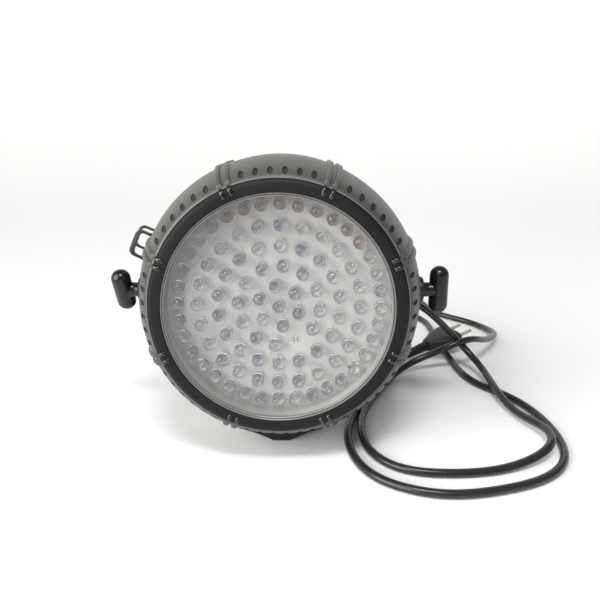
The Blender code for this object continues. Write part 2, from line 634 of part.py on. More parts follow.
# --- mains lead ------------------------------------------------------------------------------------------
# Points on the lead's centre line, from the gland to just behind the plug, in world metres
CORD_ROUTE = (
    (0.0520, 0.0465, 0.1001), (0.0525, 0.0604, 0.0984), (0.0600, 0.0814, 0.0950), (0.0780, 0.0934, 0.0910),
    (0.1000, 0.0934, 0.0880), (0.1200, 0.0839, 0.0840), (0.1390, 0.0759, 0.0760), (0.1620, 0.0824, 0.0550),
    (0.1800, 0.0890, 0.0354), (0.1903, 0.0864, 0.0240), (0.1986, 0.0774, 0.0170), (0.2040, 0.0634, 0.0123),
    (0.2050, 0.0484, 0.0112), (0.2045, 0.0314, 0.0112), (0.2060, 0.0144, 0.0100), (0.2090, -0.0036, 0.0065),
    (0.2170, -0.0286, 0.0070), (0.2260, -0.0456, 0.0105), (0.2295, -0.0601, 0.0112), (0.2255, -0.0736, 0.0112),
    (0.2130, -0.0851, 0.0085), (0.1750, -0.1006, 0.0036), (0.1320, -0.1056, 0.0036), (0.0940, -0.0996, 0.0036),
    (0.0755, -0.0806, 0.0036), (0.0695, -0.0586, 0.0036), (0.0700, -0.0326, 0.0036), (0.0750, -0.0096, 0.0036),
    (0.0860, 0.0144, 0.0036), (0.0990, 0.0394, 0.0036), (0.1150, 0.0644, 0.0050), (0.1340, 0.0784, 0.0110),
    (0.1570, 0.0804, 0.0200), (0.1720, 0.0777, 0.0296), (0.1890, 0.0792, 0.0362), (0.2000, 0.0879, 0.0350),
    (0.2120, 0.0994, 0.0270), (0.2365, 0.1364, 0.0150), (0.2480, 0.1594, 0.0100), (0.2440, 0.1874, 0.0050),
    (0.2310, 0.2124, 0.0036), (0.2110, 0.2274, 0.0036), (0.1950, 0.2424, 0.0036), (0.1870, 0.2664, 0.0036),
    (0.1850, 0.2904, 0.0036), (0.1680, 0.3084, 0.0036), (0.1430, 0.3084, 0.0036), (0.1235, 0.2904, 0.0036),
    (0.1250, 0.2644, 0.0036), (0.1470, 0.2454, 0.0036), (0.1730, 0.2244, 0.0036), (0.1770, 0.1984, 0.0036),
    (0.1775, 0.1694, 0.0036), (0.1810, 0.1064, 0.0036), (0.1840, 0.0724, 0.0036), (0.1900, 0.0494, 0.0036),
    (0.2010, 0.0344, 0.0036), (0.2140, 0.0234, 0.0036), (0.2250, 0.0064, 0.0036), (0.2330, -0.0156, 0.0036),
    (0.2375, -0.0446, 0.0036), (0.2360, -0.0686, 0.0036), (0.2300, -0.0876, 0.0036), (0.2190, -0.1016, 0.0036),
    (0.2035, -0.1126, 0.0036), (0.1810, -0.1216, 0.0036), (0.1530, -0.1286, 0.0036), (0.1260, -0.1316, 0.0036),
    (0.1020, -0.1266, 0.0036), (0.0780, -0.1146, 0.0036), (0.0640, -0.0966, 0.0036), (0.0575, -0.0736, 0.0036),
    (0.0560, -0.0526, 0.0036), (0.0600, -0.0316, 0.0036), (0.0680, -0.0086, 0.0036), (0.0780, 0.0164, 0.0036),
    (0.0880, 0.0424, 0.0036), (0.0980, 0.0684, 0.0036), (0.1090, 0.0884, 0.0036),
)
CORD_POINTS = 88
CORD_BEND_WEIGHT = 0.03


def smooth_line(points, samples_each=12):
    """A centripetal Catmull-Rom curve through the points."""
    knots = [points[0] * 2 - points[1]] + points + [points[-1] * 2 - points[-2]]
    line = []
    for p0, p1, p2, p3 in zip(knots, knots[1:], knots[2:], knots[3:]):
        t1 = (p1 - p0).length ** 0.5
        t2 = t1 + (p2 - p1).length ** 0.5
        t3 = t2 + (p3 - p2).length ** 0.5
        for step in range(samples_each):
            t = t1 + (t2 - t1) * step / samples_each
            a1 = p0 * ((t1 - t) / t1) + p1 * (t / t1)
            a2 = p1 * ((t2 - t) / (t2 - t1)) + p2 * ((t - t1) / (t2 - t1))
            a3 = p2 * ((t3 - t) / (t3 - t2)) + p3 * ((t - t2) / (t3 - t2))
            b1 = a1 * ((t2 - t) / t2) + a2 * (t / t2)
            b2 = a2 * ((t3 - t) / (t3 - t1)) + a3 * ((t - t1) / (t3 - t1))
            line.append(b1 * ((t2 - t) / (t2 - t1)) + b2 * ((t - t1) / (t2 - t1)))
    line.append(knots[-2])
    return line


def evenly(line, count, bend_weight=0.0):
    """The line read again at even steps. A bend weight, in metres for each radian, adds steps to bends."""
    travelled = [0.0]
    for index in range(1, len(line)):
        step = line[index] - line[index - 1]
        turn = 0.0 if index == 1 else step.angle(line[index - 1] - line[index - 2], 0.0)
        travelled.append(travelled[-1] + step.length + turn * bend_weight)
    spots, segment = [], 0
    for index in range(count):
        wanted = travelled[-1] * index / (count - 1)
        while segment < len(line) - 2 and travelled[segment + 1] < wanted:
            segment += 1
        part = (wanted - travelled[segment]) / (travelled[segment + 1] - travelled[segment])
        spots.append(line[segment].lerp(line[segment + 1], part))
    return spots


def relaxed(line, passes=14):
    """The line with its kinks eased, as a stiff lead would lie. Its ends hold, and it stays off the ground."""
    for _ in range(passes):
        eased = line[:2]
        eased += [(before + here * 2 + after) / 4 for before, here, after in zip(line[1:], line[2:], line[3:])]
        line = eased + line[-1:]
        for spot in line:
            spot.z = max(spot.z, CORD_RADIUS + 0.0001)
    return line


def cord_line():
    start_of_relief = PLUG_FACE - PLUG_AXIS * (PLUG_LENGTH + RELIEF_LENGTH + CORD_END_GAP)
    points = [Vector(point) for point in CORD_ROUTE]
    points += [start_of_relief - PLUG_AXIS * 0.009, start_of_relief]
    return relaxed(evenly(smooth_line(points), 400))


def make_cord(finish):
    curve = bpy.data.curves.new("power_cord", "CURVE")
    curve.dimensions = "3D"
    curve.bevel_depth = CORD_RADIUS
    curve.bevel_resolution = 2
    curve.use_fill_caps = True
    spline = curve.splines.new("POLY")
    spots = evenly(cord_line(), CORD_POINTS, CORD_BEND_WEIGHT)
    spline.points.add(len(spots) - 1)
    for point, spot in zip(spline.points, spots):
        point.co = (*spot, 1.0)
    cord = bpy.data.objects.new("power_cord", curve)
    curve.materials.append(finish["cord_pvc"])
    bpy.context.scene.collection.objects.link(cord)


def make_plug(finish):
    """A flat two-pin plug. Its own frame has +Y along the pins, +Z up, and its origin amid its face."""
    across = PLUG_AXIS.cross(Vector((0, 0, 1))).normalized()
    up = across.cross(PLUG_AXIS)
    turn = Matrix((across, PLUG_AXIS, up)).transposed().to_euler()
    holder = frame_empty("plug_frame", PLUG_FACE, turn)
    body = [
        (-0.0176, 0.0), (-0.0176, -0.014), (-0.0150, -0.024), (-0.0080, -0.0345), (-0.0060, -PLUG_LENGTH),
        (0.0060, -PLUG_LENGTH), (0.0080, -0.0345), (0.0150, -0.024), (0.0176, -0.014), (0.0176, 0.0),
    ]
    plug = place(extruded(body, -0.0068, 0.0068, "Z"), "plug_body", finish["cord_pvc"], holder)
    plug.modifiers.new("Edges", "BEVEL").width = 0.002
    plug.modifiers["Edges"].segments = 2
    plug.modifiers["Edges"].limit_method = "ANGLE"
    for name, x in (("left", -0.0093), ("right", 0.0093)):
        outline = [(0.0, GAP), (0.0020, GAP), (0.0020, 0.0176), (0.0012, 0.0190), (0.0, 0.0190)]
        place(turned(outline, 12, closed=False), f"plug_pin_{name}", finish["pin_sleeve"], holder, (x, 0, 0))
    start, end = -PLUG_LENGTH - GAP, -PLUG_LENGTH - RELIEF_LENGTH
    outline = [(0.0, start), (0.0054, start), (0.0052, start - 0.012), (0.0042, end), (0.0, end)]
    place(turned(outline, 14, closed=False), "plug_strain_relief", finish["cord_pvc"], holder)


# --- assembly --------------------------------------------------------------------------------------------
def main():
    clear_scene()
    finish = finishes()
    head = frame_empty("head_frame", HEAD_PLACE, (-LEAN, 0, 0))
    pivot = frame_empty("pivot_axis", (0, PIVOT_Y, 0), parent=head)
    make_front_shell(head, finish)
    make_bezel(head, finish)
    make_lens(head, finish)
    make_led_board(head, finish)
    make_electronics(head, finish)
    make_rear_shell(head, finish)
    make_control_panel(head, finish)
    make_sockets(head, finish)
    make_screws(head, finish)
    make_foot(finish)
    make_yoke("hanging_yoke", pivot, HANGING_ANGLE, HANGING_INSIDE, HANGING_REACH, finish)
    make_yoke("floor_yoke", pivot, FLOOR_ANGLE, FLOOR_INSIDE, FLOOR_REACH, finish)
    make_safety_loop(head, finish)
    for side, turn in ((-1, math.radians(30)), (1, 0.0)):
        name = "right" if side > 0 else "left"
        make_insert(side, pivot, finish)
        inner, outer = sorted((side * 0.1154, side * 0.1160)), sorted((side * 0.1188, side * 0.1199))
        make_washer(f"inner_washer_{name}", pivot, *inner, finish["white_plastic"])
        make_washer(f"outer_washer_{name}", pivot, *outer, finish["black_steel"])
        make_knob(side, pivot, turn, finish)
    make_cord(finish)
    make_plug(finish)
    bpy.context.view_layer.update()


main()
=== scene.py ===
"""Looks for the flat LED par can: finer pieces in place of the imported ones, their materials, the lead,
a studio and the camera. Units are metres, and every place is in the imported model's own frame."""

import math
import random

import bmesh
import bpy
from mathutils import Matrix, Vector


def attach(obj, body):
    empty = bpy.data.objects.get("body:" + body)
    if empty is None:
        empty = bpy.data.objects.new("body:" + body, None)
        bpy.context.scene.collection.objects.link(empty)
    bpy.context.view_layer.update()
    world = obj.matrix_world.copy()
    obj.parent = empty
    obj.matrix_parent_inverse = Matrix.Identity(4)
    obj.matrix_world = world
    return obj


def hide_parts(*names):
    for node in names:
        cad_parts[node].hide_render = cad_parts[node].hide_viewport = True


# --- sizes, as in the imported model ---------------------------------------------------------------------
LEAN = math.radians(5.0)
HEAD_PLACE = Vector((0.0, -0.0636, 0.1278))
GAP = 0.0003

SHELL_RADIUS = 0.1125
SHELL_LIP_RADIUS = 0.0978
SHELL_LIP_Y = -0.0185
SHELL_WIDEST_Y = 0.024
SHELL_BACK_Y = 0.058
SHELL_CURVE = 1.5
WALL = 0.0028
REAR_PANEL_Y = 0.086
REAR_PANEL_RADIUS = 0.080

LED_PITCH = 0.0156
LED_RINGS = ((6, -9.5), (12, 6.0), (18, 1.1), (24, 1.1), (36, 1.1))
EMPTY_PLACE = (1, 5)
BOARD_FACE_Y = 0.0015

RIB_PAIRS = 8
RIB_HALF_STEP = 1.9  # degrees from the middle of a pair to each rib
VENTS_PER_SECTOR = 6
VENT_STEP = 5.93
VENT_Y = -0.0135
VENT_HALF_WIDTH = 0.0021
VENT_HALF_HEIGHT = 0.0026

FOOT_Y = 0.0176  # the middle of the foot, behind the LED board's face
PIVOT_Y = 0.050
YOKE_WIDTH = 0.022
YOKE_FLAT = 0.032
ARM_THICKNESS = 0.0022
HANGING_ANGLE = math.radians(40.0)
FLOOR_ANGLE = math.radians(-56.2)
HANGING_INSIDE, HANGING_REACH = 0.1129, 0.0140
FLOOR_INSIDE, FLOOR_REACH = 0.1163, 0.0207

SOCKET_PLACES = ((-0.040, -0.014), (-0.004, -0.032))
FUSE_PLACE = (-0.036, -0.048)
GLAND_PLACE = (0.052, -0.018)
DISPLAY_CENTRE = (0.0, 0.046)
BUTTON_Z = 0.0245
BUTTON_X = (-0.027, -0.009, 0.009, 0.027)
PANEL_FACE_Y = REAR_PANEL_Y + GAP + 0.0012

CORD_RADIUS = 0.0035
CORD_END_GAP = 0.0010
PLUG_FACE = Vector((0.1913, 0.1368, 0.0195))
PLUG_AXIS = Vector((0.869, 0.449, 0.206)).normalized()
PLUG_LENGTH = 0.0388
RELIEF_LENGTH = 0.028

# Points on the lead's centre line, from the gland to just behind the plug
CORD_ROUTE = (
    (0.0520, 0.0465, 0.1001), (0.0525, 0.0604, 0.0984), (0.0600, 0.0814, 0.0950), (0.0780, 0.0934, 0.0910),
    (0.1000, 0.0934, 0.0880), (0.1200, 0.0839, 0.0840), (0.1390, 0.0759, 0.0760), (0.1620, 0.0824, 0.0550),
    (0.1800, 0.0890, 0.0354), (0.1903, 0.0864, 0.0240), (0.1986, 0.0774, 0.0170), (0.2040, 0.0634, 0.0123),
    (0.2050, 0.0484, 0.0112), (0.2045, 0.0314, 0.0112), (0.2060, 0.0144, 0.0100), (0.2090, -0.0036, 0.0065),
    (
        0.2170, -0.0286, 0.0070
    ), (0.2260, -0.0456, 0.0105), (0.2295, -0.0601, 0.0112), (0.2255, -0.0736, 0.0112),
    (
        0.2130, -0.0851, 0.0085
    ), (0.1750, -0.1006, 0.0036), (0.1320, -0.1056, 0.0036), (0.0940, -0.0996, 0.0036),
    (
        0.0755, -0.0806, 0.0036
    ), (0.0695, -0.0586, 0.0036), (0.0700, -0.0326, 0.0036), (0.0750, -0.0096, 0.0036),
    (0.0860, 0.0144, 0.0036), (0.0990, 0.0394, 0.0036), (0.1150, 0.0644, 0.0050), (0.1340, 0.0784, 0.0110),
    (0.1570, 0.0804, 0.0200), (0.1720, 0.0777, 0.0296), (0.1890, 0.0792, 0.0362), (0.2000, 0.0879, 0.0350),
    (0.2120, 0.0994, 0.0270), (0.2365, 0.1364, 0.0150), (0.2480, 0.1594, 0.0100), (0.2440, 0.1874, 0.0050),
    (0.2310, 0.2124, 0.0036), (0.2110, 0.2274, 0.0036), (0.1950, 0.2424, 0.0036), (0.1870, 0.2664, 0.0036),
    (0.1850, 0.2904, 0.0036), (0.1680, 0.3084, 0.0036), (0.1430, 0.3084, 0.0036), (0.1235, 0.2904, 0.0036),
    (0.1250, 0.2644, 0.0036), (0.1470, 0.2454, 0.0036), (0.1730, 0.2244, 0.0036), (0.1770, 0.1984, 0.0036),
    (0.1775, 0.1694, 0.0036), (0.1810, 0.1064, 0.0036), (0.1840, 0.0724, 0.0036), (0.1900, 0.0494, 0.0036),
    (0.2010, 0.0344, 0.0036), (0.2140, 0.0234, 0.0036), (0.2250, 0.0064, 0.0036), (0.2330, -0.0156, 0.0036),
    (
        0.2375, -0.0446, 0.0036
    ), (0.2360, -0.0686, 0.0036), (0.2300, -0.0876, 0.0036), (0.2190, -0.1016, 0.0036),
    (
        0.2035, -0.1126, 0.0036
    ), (0.1810, -0.1216, 0.0036), (0.1530, -0.1286, 0.0036), (0.1260, -0.1316, 0.0036),
    (
        0.1020, -0.1266, 0.0036
    ), (0.0780, -0.1146, 0.0036), (0.0640, -0.0966, 0.0036), (0.0575, -0.0736, 0.0036),
    (0.0560, -0.0526, 0.0036), (0.0600, -0.0316, 0.0036), (0.0680, -0.0086, 0.0036), (0.0780, 0.0164, 0.0036),
    (0.0880, 0.0424, 0.0036), (0.0980, 0.0684, 0.0036), (0.1090, 0.0884, 0.0036),
)
FINE = 256  # sides of the large round pieces
SWEEP_START = 0.9  # where the floor begins to curve up, behind the light
SWEEP_RISE = 0.25

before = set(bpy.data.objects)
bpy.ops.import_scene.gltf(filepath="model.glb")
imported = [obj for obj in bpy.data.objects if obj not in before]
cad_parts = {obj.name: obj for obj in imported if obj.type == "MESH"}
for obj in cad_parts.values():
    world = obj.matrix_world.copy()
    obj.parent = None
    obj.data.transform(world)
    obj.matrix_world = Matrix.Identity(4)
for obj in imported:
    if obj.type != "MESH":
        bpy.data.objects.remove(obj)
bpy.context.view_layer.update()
HEAD = Matrix.Translation(HEAD_PLACE) @ Matrix.Rotation(-LEAN, 4, "X")
PIVOT = HEAD @ Matrix.Translation((0, PIVOT_Y, 0))


# --- mesh helpers --------------------------------------------------------------------------------------
def piece(body, name, paint, rides="head", replaces=(), matrix=HEAD, sharp=35, bevel=0.0):
    """Turns a bmesh into a finished piece, with its place in its mesh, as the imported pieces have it."""
    bmesh.ops.recalc_face_normals(body, faces=body.faces)
    mesh = bpy.data.meshes.new(name)
    body.to_mesh(mesh)
    body.free()
    mesh.transform(matrix)
    obj = bpy.data.objects.new(name, mesh)
    bpy.context.scene.collection.objects.link(obj)
    if paint:
        mesh.materials.clear()
        mesh.materials.append(paint)
    if bevel:
        cut = obj.modifiers.new("edges", "BEVEL")
        cut.width = bevel
        cut.segments = 2
        cut.limit_method = "ANGLE"
        cut.angle_limit = math.radians(50)
        apply_modifiers(obj)
        mesh = obj.data
    mesh.shade_smooth()
    mesh.set_sharp_from_angle(angle=math.radians(sharp))
    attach(obj, rides)
    if replaces:
        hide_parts(*replaces)
    return obj


def apply_modifiers(obj):
    graph = bpy.context.evaluated_depsgraph_get()
    mesh = bpy.data.meshes.new_from_object(obj.evaluated_get(graph))
    obj.modifiers.clear()
    obj.data = mesh


def as_mesh(body):
    bmesh.ops.recalc_face_normals(body, faces=body.faces)
    mesh = bpy.data.meshes.new("scratch")
    body.to_mesh(mesh)
    body.free()
    return mesh


def joined(bodies):
    made = bmesh.new()
    for body in bodies:
        mesh = as_mesh(body)
        made.from_mesh(mesh)
        bpy.data.meshes.remove(mesh)
    return made


def boolean(body, others, operation):
    """The body with the other shapes cut from it, or united with it, as a new bmesh."""
    pair = []
    for shape in (body, joined(others)):
        obj = bpy.data.objects.new("scratch", as_mesh(shape))
        bpy.context.scene.collection.objects.link(obj)
        pair.append(obj)
    target, helper = pair
    modifier = target.modifiers.new("cut", "BOOLEAN")
    modifier.operation = operation
    modifier.object = helper
    modifier.solver = "EXACT"
    apply_modifiers(target)
    made = bmesh.new()
    made.from_mesh(target.data)
    for obj in pair:
        bpy.data.objects.remove(obj)
    return made


def cut(body, others):
    return boolean(body, others, "DIFFERENCE")


def united(body, others):
    return boolean(body, others, "UNION")


def turned(outline, sides=FINE, closed=True):
    """A solid of revolution about +Y from (radius, y) points. An open outline starts and ends on the axis."""
    made = bmesh.new()
    points = [made.verts.new((radius, y, 0.0)) for radius, y in outline]
    edges = [made.edges.new(pair) for pair in zip(points, points[1:])]
    if closed:
        edges.append(made.edges.new((points[-1], points[0])))
    bmesh.ops.spin(
        made, geom=points + edges, cent=(0, 0, 0), axis=(0, 1, 0), angle=math.tau, steps=sides, use_merge=True
    )
    bmesh.ops.remove_doubles(made, verts=made.verts, dist=1e-7)
    return made


def extruded(outline, low, high, axis="Y"):
    spots = {
        "X": lambda across, up, along: (along, across, up),
        "Y": lambda across, up, along: (across, along, up),
        "Z": lambda across, up, along: (across, up, along),
    }[axis]
    made = bmesh.new()
    base = made.faces.new([made.verts.new(spots(across, up, low)) for across, up in outline])
    grown = bmesh.ops.extrude_face_region(made, geom=[base])["geom"]
    shift = Vector(spots(0, 0, high)) - Vector(spots(0, 0, low))
    bmesh.ops.translate(made, vec=shift, verts=[v for v in grown if isinstance(v, bmesh.types.BMVert)])
    return made


def rod(radius, low, high, axis="Y", sides=48, across=0.0, up=0.0):
    angles = [math.tau * step / sides for step in range(sides)]
    outline = [(across + radius * math.cos(a), up + radius * math.sin(a)) for a in angles]
    return extruded(outline, low, high, axis)


def block(low, high):
    outline = [(low[0], low[2]), (high[0], low[2]), (high[0], high[2]), (low[0], high[2])]
    return extruded(outline, low[1], high[1])


def arc(centre, radius, start, end, steps):
    angles = [math.radians(start + (end - start) * step / steps) for step in range(steps + 1)]
    return [(centre[0] + radius * math.cos(a), centre[1] + radius * math.sin(a)) for a in angles]


def rounded_box(half_width, half_height, corner, centre=(0.0, 0.0), steps=8):
    points = []
    for sx, sy, start in ((1, 1, 0), (-1, 1, 90), (-1, -1, 180), (1, -1, 270)):
        middle = (centre[0] + sx * (half_width - corner), centre[1] + sy * (half_height - corner))
        points += arc(middle, corner, start, start + 90, steps)
    return points


def moved(body, matrix):
    bmesh.ops.transform(body, matrix=matrix, verts=body.verts)
    return body


def about_axis(body, degrees):
    """Turned clockwise about the light's axis, as seen from the front."""
    return moved(body, Matrix.Rotation(math.radians(degrees), 4, "Y"))


def loft(rows, caps=True):
    """A skin over rows of points, each row a closed ring."""
    made = bmesh.new()
    rings = [[made.verts.new(point) for point in row] for row in rows]
    for first, second in zip(rings, rings[1:]):
        for index in range(len(first)):
            after = (index + 1) % len(first)
            made.faces.new((first[index], first[after], second[after], second[index]))
    if caps:
        made.faces.new(rings[0])
        made.faces.new(list(reversed(rings[-1])))
    return made


# --- materials -----------------------------------------------------------------------------------------
class Paint:
    """A small wrapper that adds nodes to one material."""

    def __init__(self, name):
        self.material = bpy.data.materials.new(name)
        self.material.use_nodes = True
        self.tree = self.material.node_tree
        self.shader = self.tree.nodes["Principled BSDF"]
        self.coords = self.tree.nodes.new("ShaderNodeTexCoord").outputs["Object"]

    def set(self, **values):
        for name, value in values.items():
            self.shader.inputs[name.replace("_", " ")].default_value = value
        return self

    def noise(self, scale, detail=3.0, roughness=0.55):
        node = self.tree.nodes.new("ShaderNodeTexNoise")
        node.inputs["Scale"].default_value = scale
        node.inputs["Detail"].default_value = detail
        node.inputs["Roughness"].default_value = roughness
        self.tree.links.new(self.coords, node.inputs["Vector"])
        return node.outputs["Fac"]

    def ramp(self, value, stops):
        node = self.tree.nodes.new("ShaderNodeValToRGB")
        ramp = node.color_ramp
        while len(ramp.elements) < len(stops):
            ramp.elements.new(0.5)
        for element, (position, colour) in zip(ramp.elements, stops):
            element.position = position
            element.color = (*colour, 1.0) if len(colour) == 3 else colour
        self.tree.links.new(value, node.inputs["Fac"])
        return node.outputs["Color"]

    def span(self, value, low, high):
        node = self.tree.nodes.new("ShaderNodeMapRange")
        node.inputs["To Min"].default_value = low
        node.inputs["To Max"].default_value = high
        self.tree.links.new(value, node.inputs["Value"])
        return node.outputs["Result"]

    def link(self, value, socket):
        self.tree.links.new(value, self.shader.inputs[socket])
        return self

    def bump(self, value, strength, distance):
        node = self.tree.nodes.new("ShaderNodeBump")
        node.inputs["Strength"].default_value = strength
        node.inputs["Distance"].default_value = distance
        self.tree.links.new(value, node.inputs["Height"])
        previous = self.shader.inputs["Normal"].links
        if previous:
            self.tree.links.new(previous[0].from_socket, node.inputs["Normal"])
        self.tree.links.new(node.outputs["Normal"], self.shader.inputs["Normal"])
        return self


def moulded(
    name, dark, light, rough, grain=900.0, grain_depth=0.00004, metallic=0.0, blotch=14.0, coat=0.0,
    shine=0.5
):
    """A moulded or painted surface: colour that drifts a little, uneven gloss and a fine grain."""
    paint = Paint(name)
    drift = paint.noise(blotch, 4.0)
    paint.link(paint.ramp(drift, [(0.35, dark), (0.65, light)]), "Base Color")
    paint.link(paint.span(paint.noise(blotch * 9, 3.0), rough[0], rough[1]), "Roughness")
    paint.bump(paint.noise(grain, 2.0), 0.35, grain_depth)
    paint.set(Metallic=metallic, Coat_Weight=coat, Specular_IOR_Level=shine)
    return paint.material


def paints():
    made = {}

    def add(name, *looks, **more):
        made[name] = moulded(name, *looks, **more)

    add("grey_shell", (0.060, 0.0588, 0.0555), (0.072, 0.0704, 0.0663), (0.36, 0.48), 1400, 0.00003)
    add("collar_grey", (0.34, 0.335, 0.32), (0.40, 0.395, 0.38), (0.4, 0.55), 500)
    # Painted shade: the dark grey that fills the bottoms of the vents
    add("vent_shade_grey", (0.024, 0.023, 0.021), (0.030, 0.029, 0.026), (0.6, 0.7), shine=0.2)
    add("black_plastic", (0.010, 0.0105, 0.011), (0.015, 0.0155, 0.016), (0.42, 0.55), 1600, shine=0.3)
    add(
        "ring_black", (0.0085, 0.009, 0.0098), (0.012, 0.0125, 0.0133), (0.45, 0.6), 1900, 0.00006,
        shine=0.16
    )
    add(
        "knob_black", (0.007, 0.0071, 0.0072), (0.010, 0.0101, 0.0102), (0.2, 0.28), 1200, 0.00002,
        shine=0.45
    )
    add("black_gloss", (0.008, 0.008, 0.008), (0.012, 0.012, 0.012), (0.12, 0.2), 700, 0.00001, shine=0.7)
    add("black_steel", (0.012, 0.012, 0.012), (0.018, 0.018, 0.018), (0.3, 0.45), 2400, 0.00008)
    add("rubber", (0.010, 0.010, 0.010), (0.016, 0.016, 0.016), (0.6, 0.75), 1500)
    add("white_plastic", (0.56, 0.55, 0.53), (0.63, 0.62, 0.60), (0.4, 0.55), 500)
    add("green_board", (0.02, 0.11, 0.045), (0.03, 0.15, 0.06), (0.3, 0.45), 400)
    add("brass", (0.52, 0.38, 0.16), (0.6, 0.45, 0.2), (0.25, 0.4), 600, 0.00001, 1.0)
    add("bright_steel", (0.5, 0.5, 0.51), (0.6, 0.6, 0.6), (0.25, 0.4), 900, 0.00001, 1.0)
    add("dark_window", (0.03, 0.006, 0.006), (0.04, 0.008, 0.008), (0.05, 0.12), 100, 0.0, coat=0.5)
    add("cord_pvc", (0.013, 0.013, 0.0132), (0.020, 0.020, 0.0202), (0.2, 0.34), 700, 0.00002)
    add("plug_black", (0.012, 0.012, 0.012), (0.018, 0.018, 0.018), (0.4, 0.55), 1300)
    add("pin_sleeve", (0.52, 0.46, 0.36), (0.6, 0.54, 0.44), (0.35, 0.5), 500)
    add("led_dark", (0.05, 0.055, 0.075), (0.11, 0.11, 0.13), (0.2, 0.4), 900, 0.00001, 0.4)
    made["clear_lens"] = clear("clear_lens", (0.85, 0.85, 0.84), 0.12, 0.05, 0.5, 0.10)
    # Light grey for painted highlight lines: the lens rim and the bezel's bead
    add("edge_highlight_grey", (0.15, 0.15, 0.147), (0.20, 0.20, 0.195), (0.15, 0.3), 300, 0.00001)
    made["led_clear"] = glass("led_clear", (0.97, 0.97, 0.98), 0.02, 0.92)
    # Painted highlight: the bright edges of the LEDs' clear flanges
    add("led_rim_highlight", (0.66, 0.66, 0.66), (0.78, 0.78, 0.78), (0.1, 0.2), 400, 0.00001)
    add("led_light", (0.29, 0.29, 0.30), (0.42, 0.42, 0.43), (0.3, 0.5), 900, 0.00001, 0.0, 260.0)
    add("led_blue", (0.08, 0.09, 0.12), (0.36, 0.37, 0.42), (0.3, 0.5), 900, 0.00001, 0.0, 330.0)
    add("led_warm", (0.02, 0.018, 0.02), (0.34, 0.22, 0.15), (0.3, 0.5), 900, 0.00001, 0.0, 330.0)
    made["white_board"] = board_paint()
    return made


def clear(name, colour, rough, face_on, edge_on, blend):
    """Clear plastic: see-through face on, and closing towards its edges."""
    paint = Paint(name)
    paint.set(Base_Color=(*colour, 1.0), Roughness=rough)
    weight = paint.tree.nodes.new("ShaderNodeLayerWeight")
    weight.inputs["Blend"].default_value = blend
    paint.link(paint.span(weight.outputs["Facing"], face_on, edge_on), "Alpha")
    paint.bump(paint.noise(60.0, 2.0), 0.2, 0.0002)
    return paint.material


def glass(name, colour, rough, alpha):
    """Cast clear resin. An alpha below 1 lets part of the light straight through, as caustics would."""
    paint = Paint(name)
    paint.set(Base_Color=(*colour, 1.0), Roughness=rough, Transmission_Weight=1.0, IOR=1.5, Alpha=alpha)
    paint.bump(paint.noise(260.0, 2.0), 0.15, 0.00005)
    return paint.material


def board_paint():
    """White solder mask, a little uneven and faintly yellowed."""
    paint = Paint("white_board")
    drift = paint.noise(22.0, 4.0)
    paint.link(paint.ramp(drift, [(0.3, (0.46, 0.452, 0.443)), (0.7, (0.53, 0.521, 0.512))]), "Base Color")
    paint.link(paint.span(paint.noise(150.0), 0.28, 0.45), "Roughness")
    paint.bump(paint.noise(300.0), 0.2, 0.00005)
    return paint.material


PAINTS = paints()


# --- camera, floor and light ---------------------------------------------------------------------------
def studio():
    bpy.context.scene.view_settings.view_transform = "Standard"
    camera = bpy.data.objects.new("camera", bpy.data.cameras.new("camera"))
    bpy.context.scene.collection.objects.link(camera)
    camera.data.lens = 36.0
    camera.data.sensor_width = 36.0
    camera.data.clip_start = 0.02
    camera.location = (0.016, -0.49835, 0.2873)
    camera.rotation_euler = (math.radians(90.0 - 19.7), 0.0, 0.0)
    bpy.context.scene.camera = camera

    rows, columns, reach = 60, 12, 6.0
    floor = bmesh.new()
    bmesh.ops.create_grid(floor, x_segments=columns, y_segments=rows, size=reach)
    for vert in floor.verts:
        vert.co.z = SWEEP_RISE * max(0.0, vert.co.y - SWEEP_START) ** 2
    mesh = bpy.data.meshes.new("floor")
    floor.to_mesh(mesh)
    floor.free()
    mesh.shade_smooth()
    ground = bpy.data.objects.new("floor", mesh)
    bpy.context.scene.collection.objects.link(ground)
    paint = Paint("floor")
    paint.link(
        paint.ramp(paint.noise(0.7), [(0.3, (0.93, 0.93, 0.93)), (0.7, (0.95, 0.95, 0.95))]), "Base Color"
    )
    paint.set(Roughness=0.9, Specular_IOR_Level=0.0)
    mesh.materials.append(paint.material)

    world = bpy.data.worlds.new("studio")
    world.use_nodes = True
    world.node_tree.nodes["Background"].inputs["Color"].default_value = (1.0, 1.0, 1.0, 1.0)
    world.node_tree.nodes["Background"].inputs["Strength"].default_value = 0.24
    bpy.context.scene.world = world
    key = bpy.data.objects.new("key_light", bpy.data.lights.new("key_light", "SUN"))
    key.data.energy = 4.25
    key.data.angle = math.radians(56.0)
    key.data.color = (1.0, 0.985, 0.96)
    key.rotation_euler = Vector((-0.76, -0.54, 0.36)).to_track_quat("Z", "Y").to_euler()
    bpy.context.scene.collection.objects.link(key)
    strip = bpy.data.objects.new("strip_light", bpy.data.lights.new("strip_light", "AREA"))
    strip.data.shape = "RECTANGLE"
    strip.data.size = 0.4
    strip.data.size_y = 0.2
    strip.data.energy = 7.0
    strip.location = (0.0, -0.55, 1.1)
    strip.rotation_euler = (Vector((0.0, -0.5, 0.95))).to_track_quat("Z", "Y").to_euler()
    bpy.context.scene.collection.objects.link(strip)


studio()


